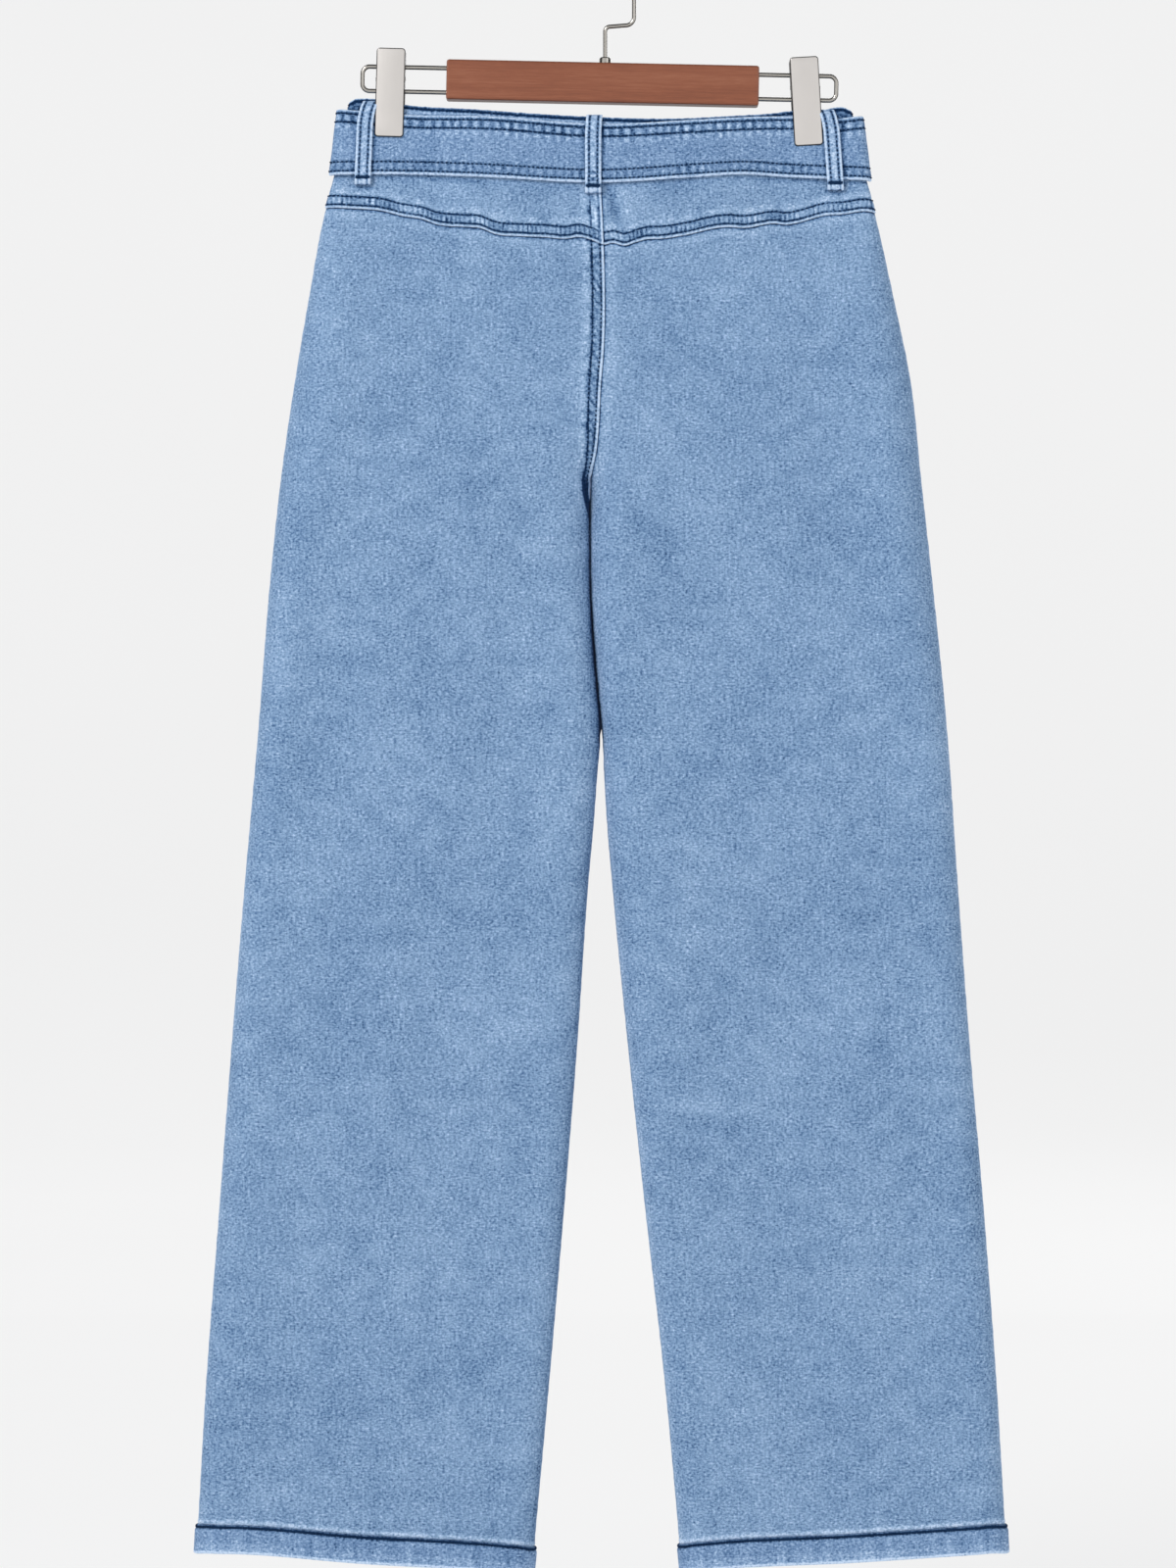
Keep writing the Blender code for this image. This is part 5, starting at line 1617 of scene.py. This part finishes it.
class JEANS_OT_plates(bpy.types.Operator):
    """Press the two plates of each clip, with round corners and two flanges"""

    bl_idname = "jeans.plates"
    bl_label = "Clip Plates"

    def execute(self, context):
        hanger = context.scene.jeans_hanger
        nickel = made_once("satin_nickel", lambda: metal_finish(
            "satin_nickel", hanger.nickel, hanger.nickel_roughness, (0.25, 0.25, 30)))
        for clip in CLIPS:
            for face in FACES:
                self.plate(clip, face, nickel)
        return {"FINISHED"}

    @staticmethod
    def outline(inset):
        """The round-cornered outline of a plate, with points close enough to bend."""
        radius = max(CLIP_CORNER - inset, 0.25)
        half_x, half_z = (size / 2 - inset - radius for size in (CLIP_WIDTH, CLIP_HEIGHT))
        found = []
        for quarter, (sign_x, sign_z) in enumerate(((1, 1), (-1, 1), (-1, -1), (1, -1))):
            turn = pi / 2 * quarter
            found += bend(sign_x * half_x, sign_z * half_z, radius, turn, turn + pi / 2, 6)
            if quarter % 2:
                x, z = found[-1]
                found += [(x, z * (1 - step / 12)) for step in range(1, 24)]
        return np.array(found)

    def plate(self, clip, face, nickel):
        rings = []
        for turn in (pi / 2 * step / 5 for step in range(6)):
            depth = CLIP_FACE_Y - CLIP_EDGE * (1 - cos(turn))
            rings.append((self.outline(CLIP_EDGE * (1 - sin(turn))), depth))
        level = CLIP_FACE_Y - CLIP_PLATE
        for inset in (0.0, CLIP_PLATE):
            ring = self.outline(inset)
            fall = ease((ring[:, 1] - CLIP_HEIGHT / 2 + FLANGE_HEIGHT) / 3.0)
            rings.append((ring, between(level - 0.1, FLANGE_FOOT_Y + GAP / 2, fall)))
        rings.append((ring, level))
        lean = np.arctan2(clip.x_top - clip.x_foot, clip.z_top - clip.z_foot)
        x, z = np.moveaxis(np.array([ring for ring, _ in rings]), -1, 0)
        depth = np.array([np.broadcast_to(depth, len(ring)) for ring, depth in rings])
        vertices = np.stack([(clip.x_top + clip.x_foot) / 2 + x * cos(lean) + z * sin(lean),
                             FACES[face] * depth,
                             (clip.z_top + clip.z_foot) / 2 - x * sin(lean) + z * cos(lean)], -1)
        count = len(ring)
        faces = ring_faces(len(rings), count)
        faces.append(tuple(range(count))[::-1])
        faces.append(tuple(range((len(rings) - 1) * count, len(rings) * count)))
        if face == "back":
            faces = [corners[::-1] for corners in faces]
        mesh = smooth_mesh(f"plate_{clip.side}_{face}", vertices.reshape(-1, 3) * MM, faces, 35)
        # Painted dark reflection on the rounded rim rings.
        mark(mesh, "rim", np.repeat([0.0, 0.6, 1.0, 1.0, 1.0, 1.0, 1.0, 1.0, 0.5], count))
        riding(linked(mesh.name, mesh), nickel, [f"clip_{clip.side}_{face}_plate"])


class JEANS_OT_hanger_finishes(bpy.types.Operator):
    """Give the wooden bar its stain and its lacquer"""

    bl_idname = "jeans.hanger_finishes"
    bl_label = "Bar Finish"

    def execute(self, context):
        wood = made_once("stained_wood", lambda: wood_finish(context.scene.jeans_hanger))
        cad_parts["hanger_bar"].material_slots[0].material = wood
        return {"FINISHED"}


class JEANS_OT_stage(bpy.types.Operator):
    """Set the pale floor, the studio lights and the camera"""

    bl_idname = "jeans.stage"
    bl_label = "Studio"

    def execute(self, context):
        scene, stage = context.scene, context.scene.jeans_stage
        self.floor(stage)
        for lamp in LAMPS:
            self.light(lamp, getattr(stage, lamp.name))
        for name, corners in CARDS.items():
            self.card(name, corners)
        scene.world = bpy.data.worlds.new("studio")
        scene.world.use_nodes = True
        background = scene.world.node_tree.nodes["Background"]
        background.inputs["Color"].default_value = (0.95, 0.97, 1.0, 1.0)
        background.inputs["Strength"].default_value = 0.35
        scene.view_settings.view_transform = "Standard"
        scene.camera = linked("camera", bpy.data.cameras.new("camera"))
        scene.camera.location = CAMERA_PLACE
        scene.camera.rotation_euler = (pi / 2, 0, 0)
        scene.camera.data.lens = CAMERA_LENS
        scene.camera.data.sensor_width = 36.0
        return {"FINISHED"}

    @staticmethod
    def floor(stage):
        """A round floor whose rim turns up into a backdrop on all sides."""
        flat = FLOOR_RADIUS - FLOOR_BEND
        rise = bend(flat, FLOOR_Z + FLOOR_BEND, FLOOR_BEND, -pi / 2, 0, 16)[1:]
        profile = [(0.02, FLOOR_Z), (flat, FLOOR_Z), *rise, (FLOOR_RADIUS, FLOOR_Z + FLOOR_HEIGHT)]
        turns = [2 * pi * turn / FLOOR_TURNS for turn in range(FLOOR_TURNS)]
        vertices = [(r * cos(turn), r * sin(turn), z) for r, z in profile for turn in turns]
        faces = [corners[::-1] for corners in ring_faces(len(profile), FLOOR_TURNS)]
        mesh = bpy.data.meshes.new("studio_floor")
        mesh.from_pydata(vertices, [], [*faces, range(FLOOR_TURNS)])
        mesh.shade_smooth()
        mesh.materials.append(floor_finish(stage))
        linked("studio_floor", mesh)

    @staticmethod
    def card(name, corners):
        mesh = bpy.data.meshes.new(name)
        mesh.from_pydata(corners, [], [(0, 1, 2, 3)])
        mesh.materials.append(made_once("black_card", lambda: Finish(
            "black_card", base_color=(0.0, 0.0, 0.0, 1.0), roughness=1.0,
            specular_ior_level=0.0).material))
        card = linked(name, mesh)
        for ray in ("camera", "diffuse", "shadow", "transmission", "volume_scatter"):
            setattr(card, "visible_" + ray, False)

    @staticmethod
    def light(lamp, power):
        """A square soft light that faces the middle of the object."""
        data = bpy.data.lights.new(lamp.name, "AREA")
        data.size = lamp.size
        data.energy = power
        light = linked(lamp.name, data)
        light.location = lamp.place
        towards = Vector(AIM) - light.location
        light.rotation_euler = towards.to_track_quat("-Z", "Y").to_euler()
        light.visible_camera = False


OPERATORS = (JEANS_OT_legs, JEANS_OT_yokes, JEANS_OT_waistband, JEANS_OT_fly, JEANS_OT_hems,
             JEANS_OT_belt, JEANS_OT_loops, JEANS_OT_wires, JEANS_OT_springs,
             JEANS_OT_plates, JEANS_OT_hanger_finishes, JEANS_OT_stage)


class JEANS_PT_panel(bpy.types.Panel):
    """The settings and the steps, in the order in which they run"""

    bl_idname = "JEANS_PT_panel"
    bl_label = "Wide Leg Jeans"
    bl_space_type = "VIEW_3D"
    bl_region_type = "UI"
    bl_category = "Jeans"

    def draw(self, context):
        for name, group in SETTINGS.items():
            box = self.layout.box()
            for field in group.__annotations__:
                box.prop(getattr(context.scene, name), field)
        for operator in OPERATORS:
            self.layout.operator(operator.bl_idname)


CLASSES = (*SETTINGS.values(), *OPERATORS, JEANS_PT_panel)


def register():
    for each in CLASSES:
        bpy.utils.register_class(each)
    for name, group in SETTINGS.items():
        setattr(bpy.types.Scene, name, PointerProperty(type=group))


def unregister():
    for name in SETTINGS:
        delattr(bpy.types.Scene, name)
    for each in reversed(CLASSES):
        bpy.utils.unregister_class(each)


def main():
    register()
    for operator in OPERATORS:
        group, name = operator.bl_idname.split(".")
        getattr(getattr(bpy.ops, group), name)()


if __name__ == "__main__":
    main()
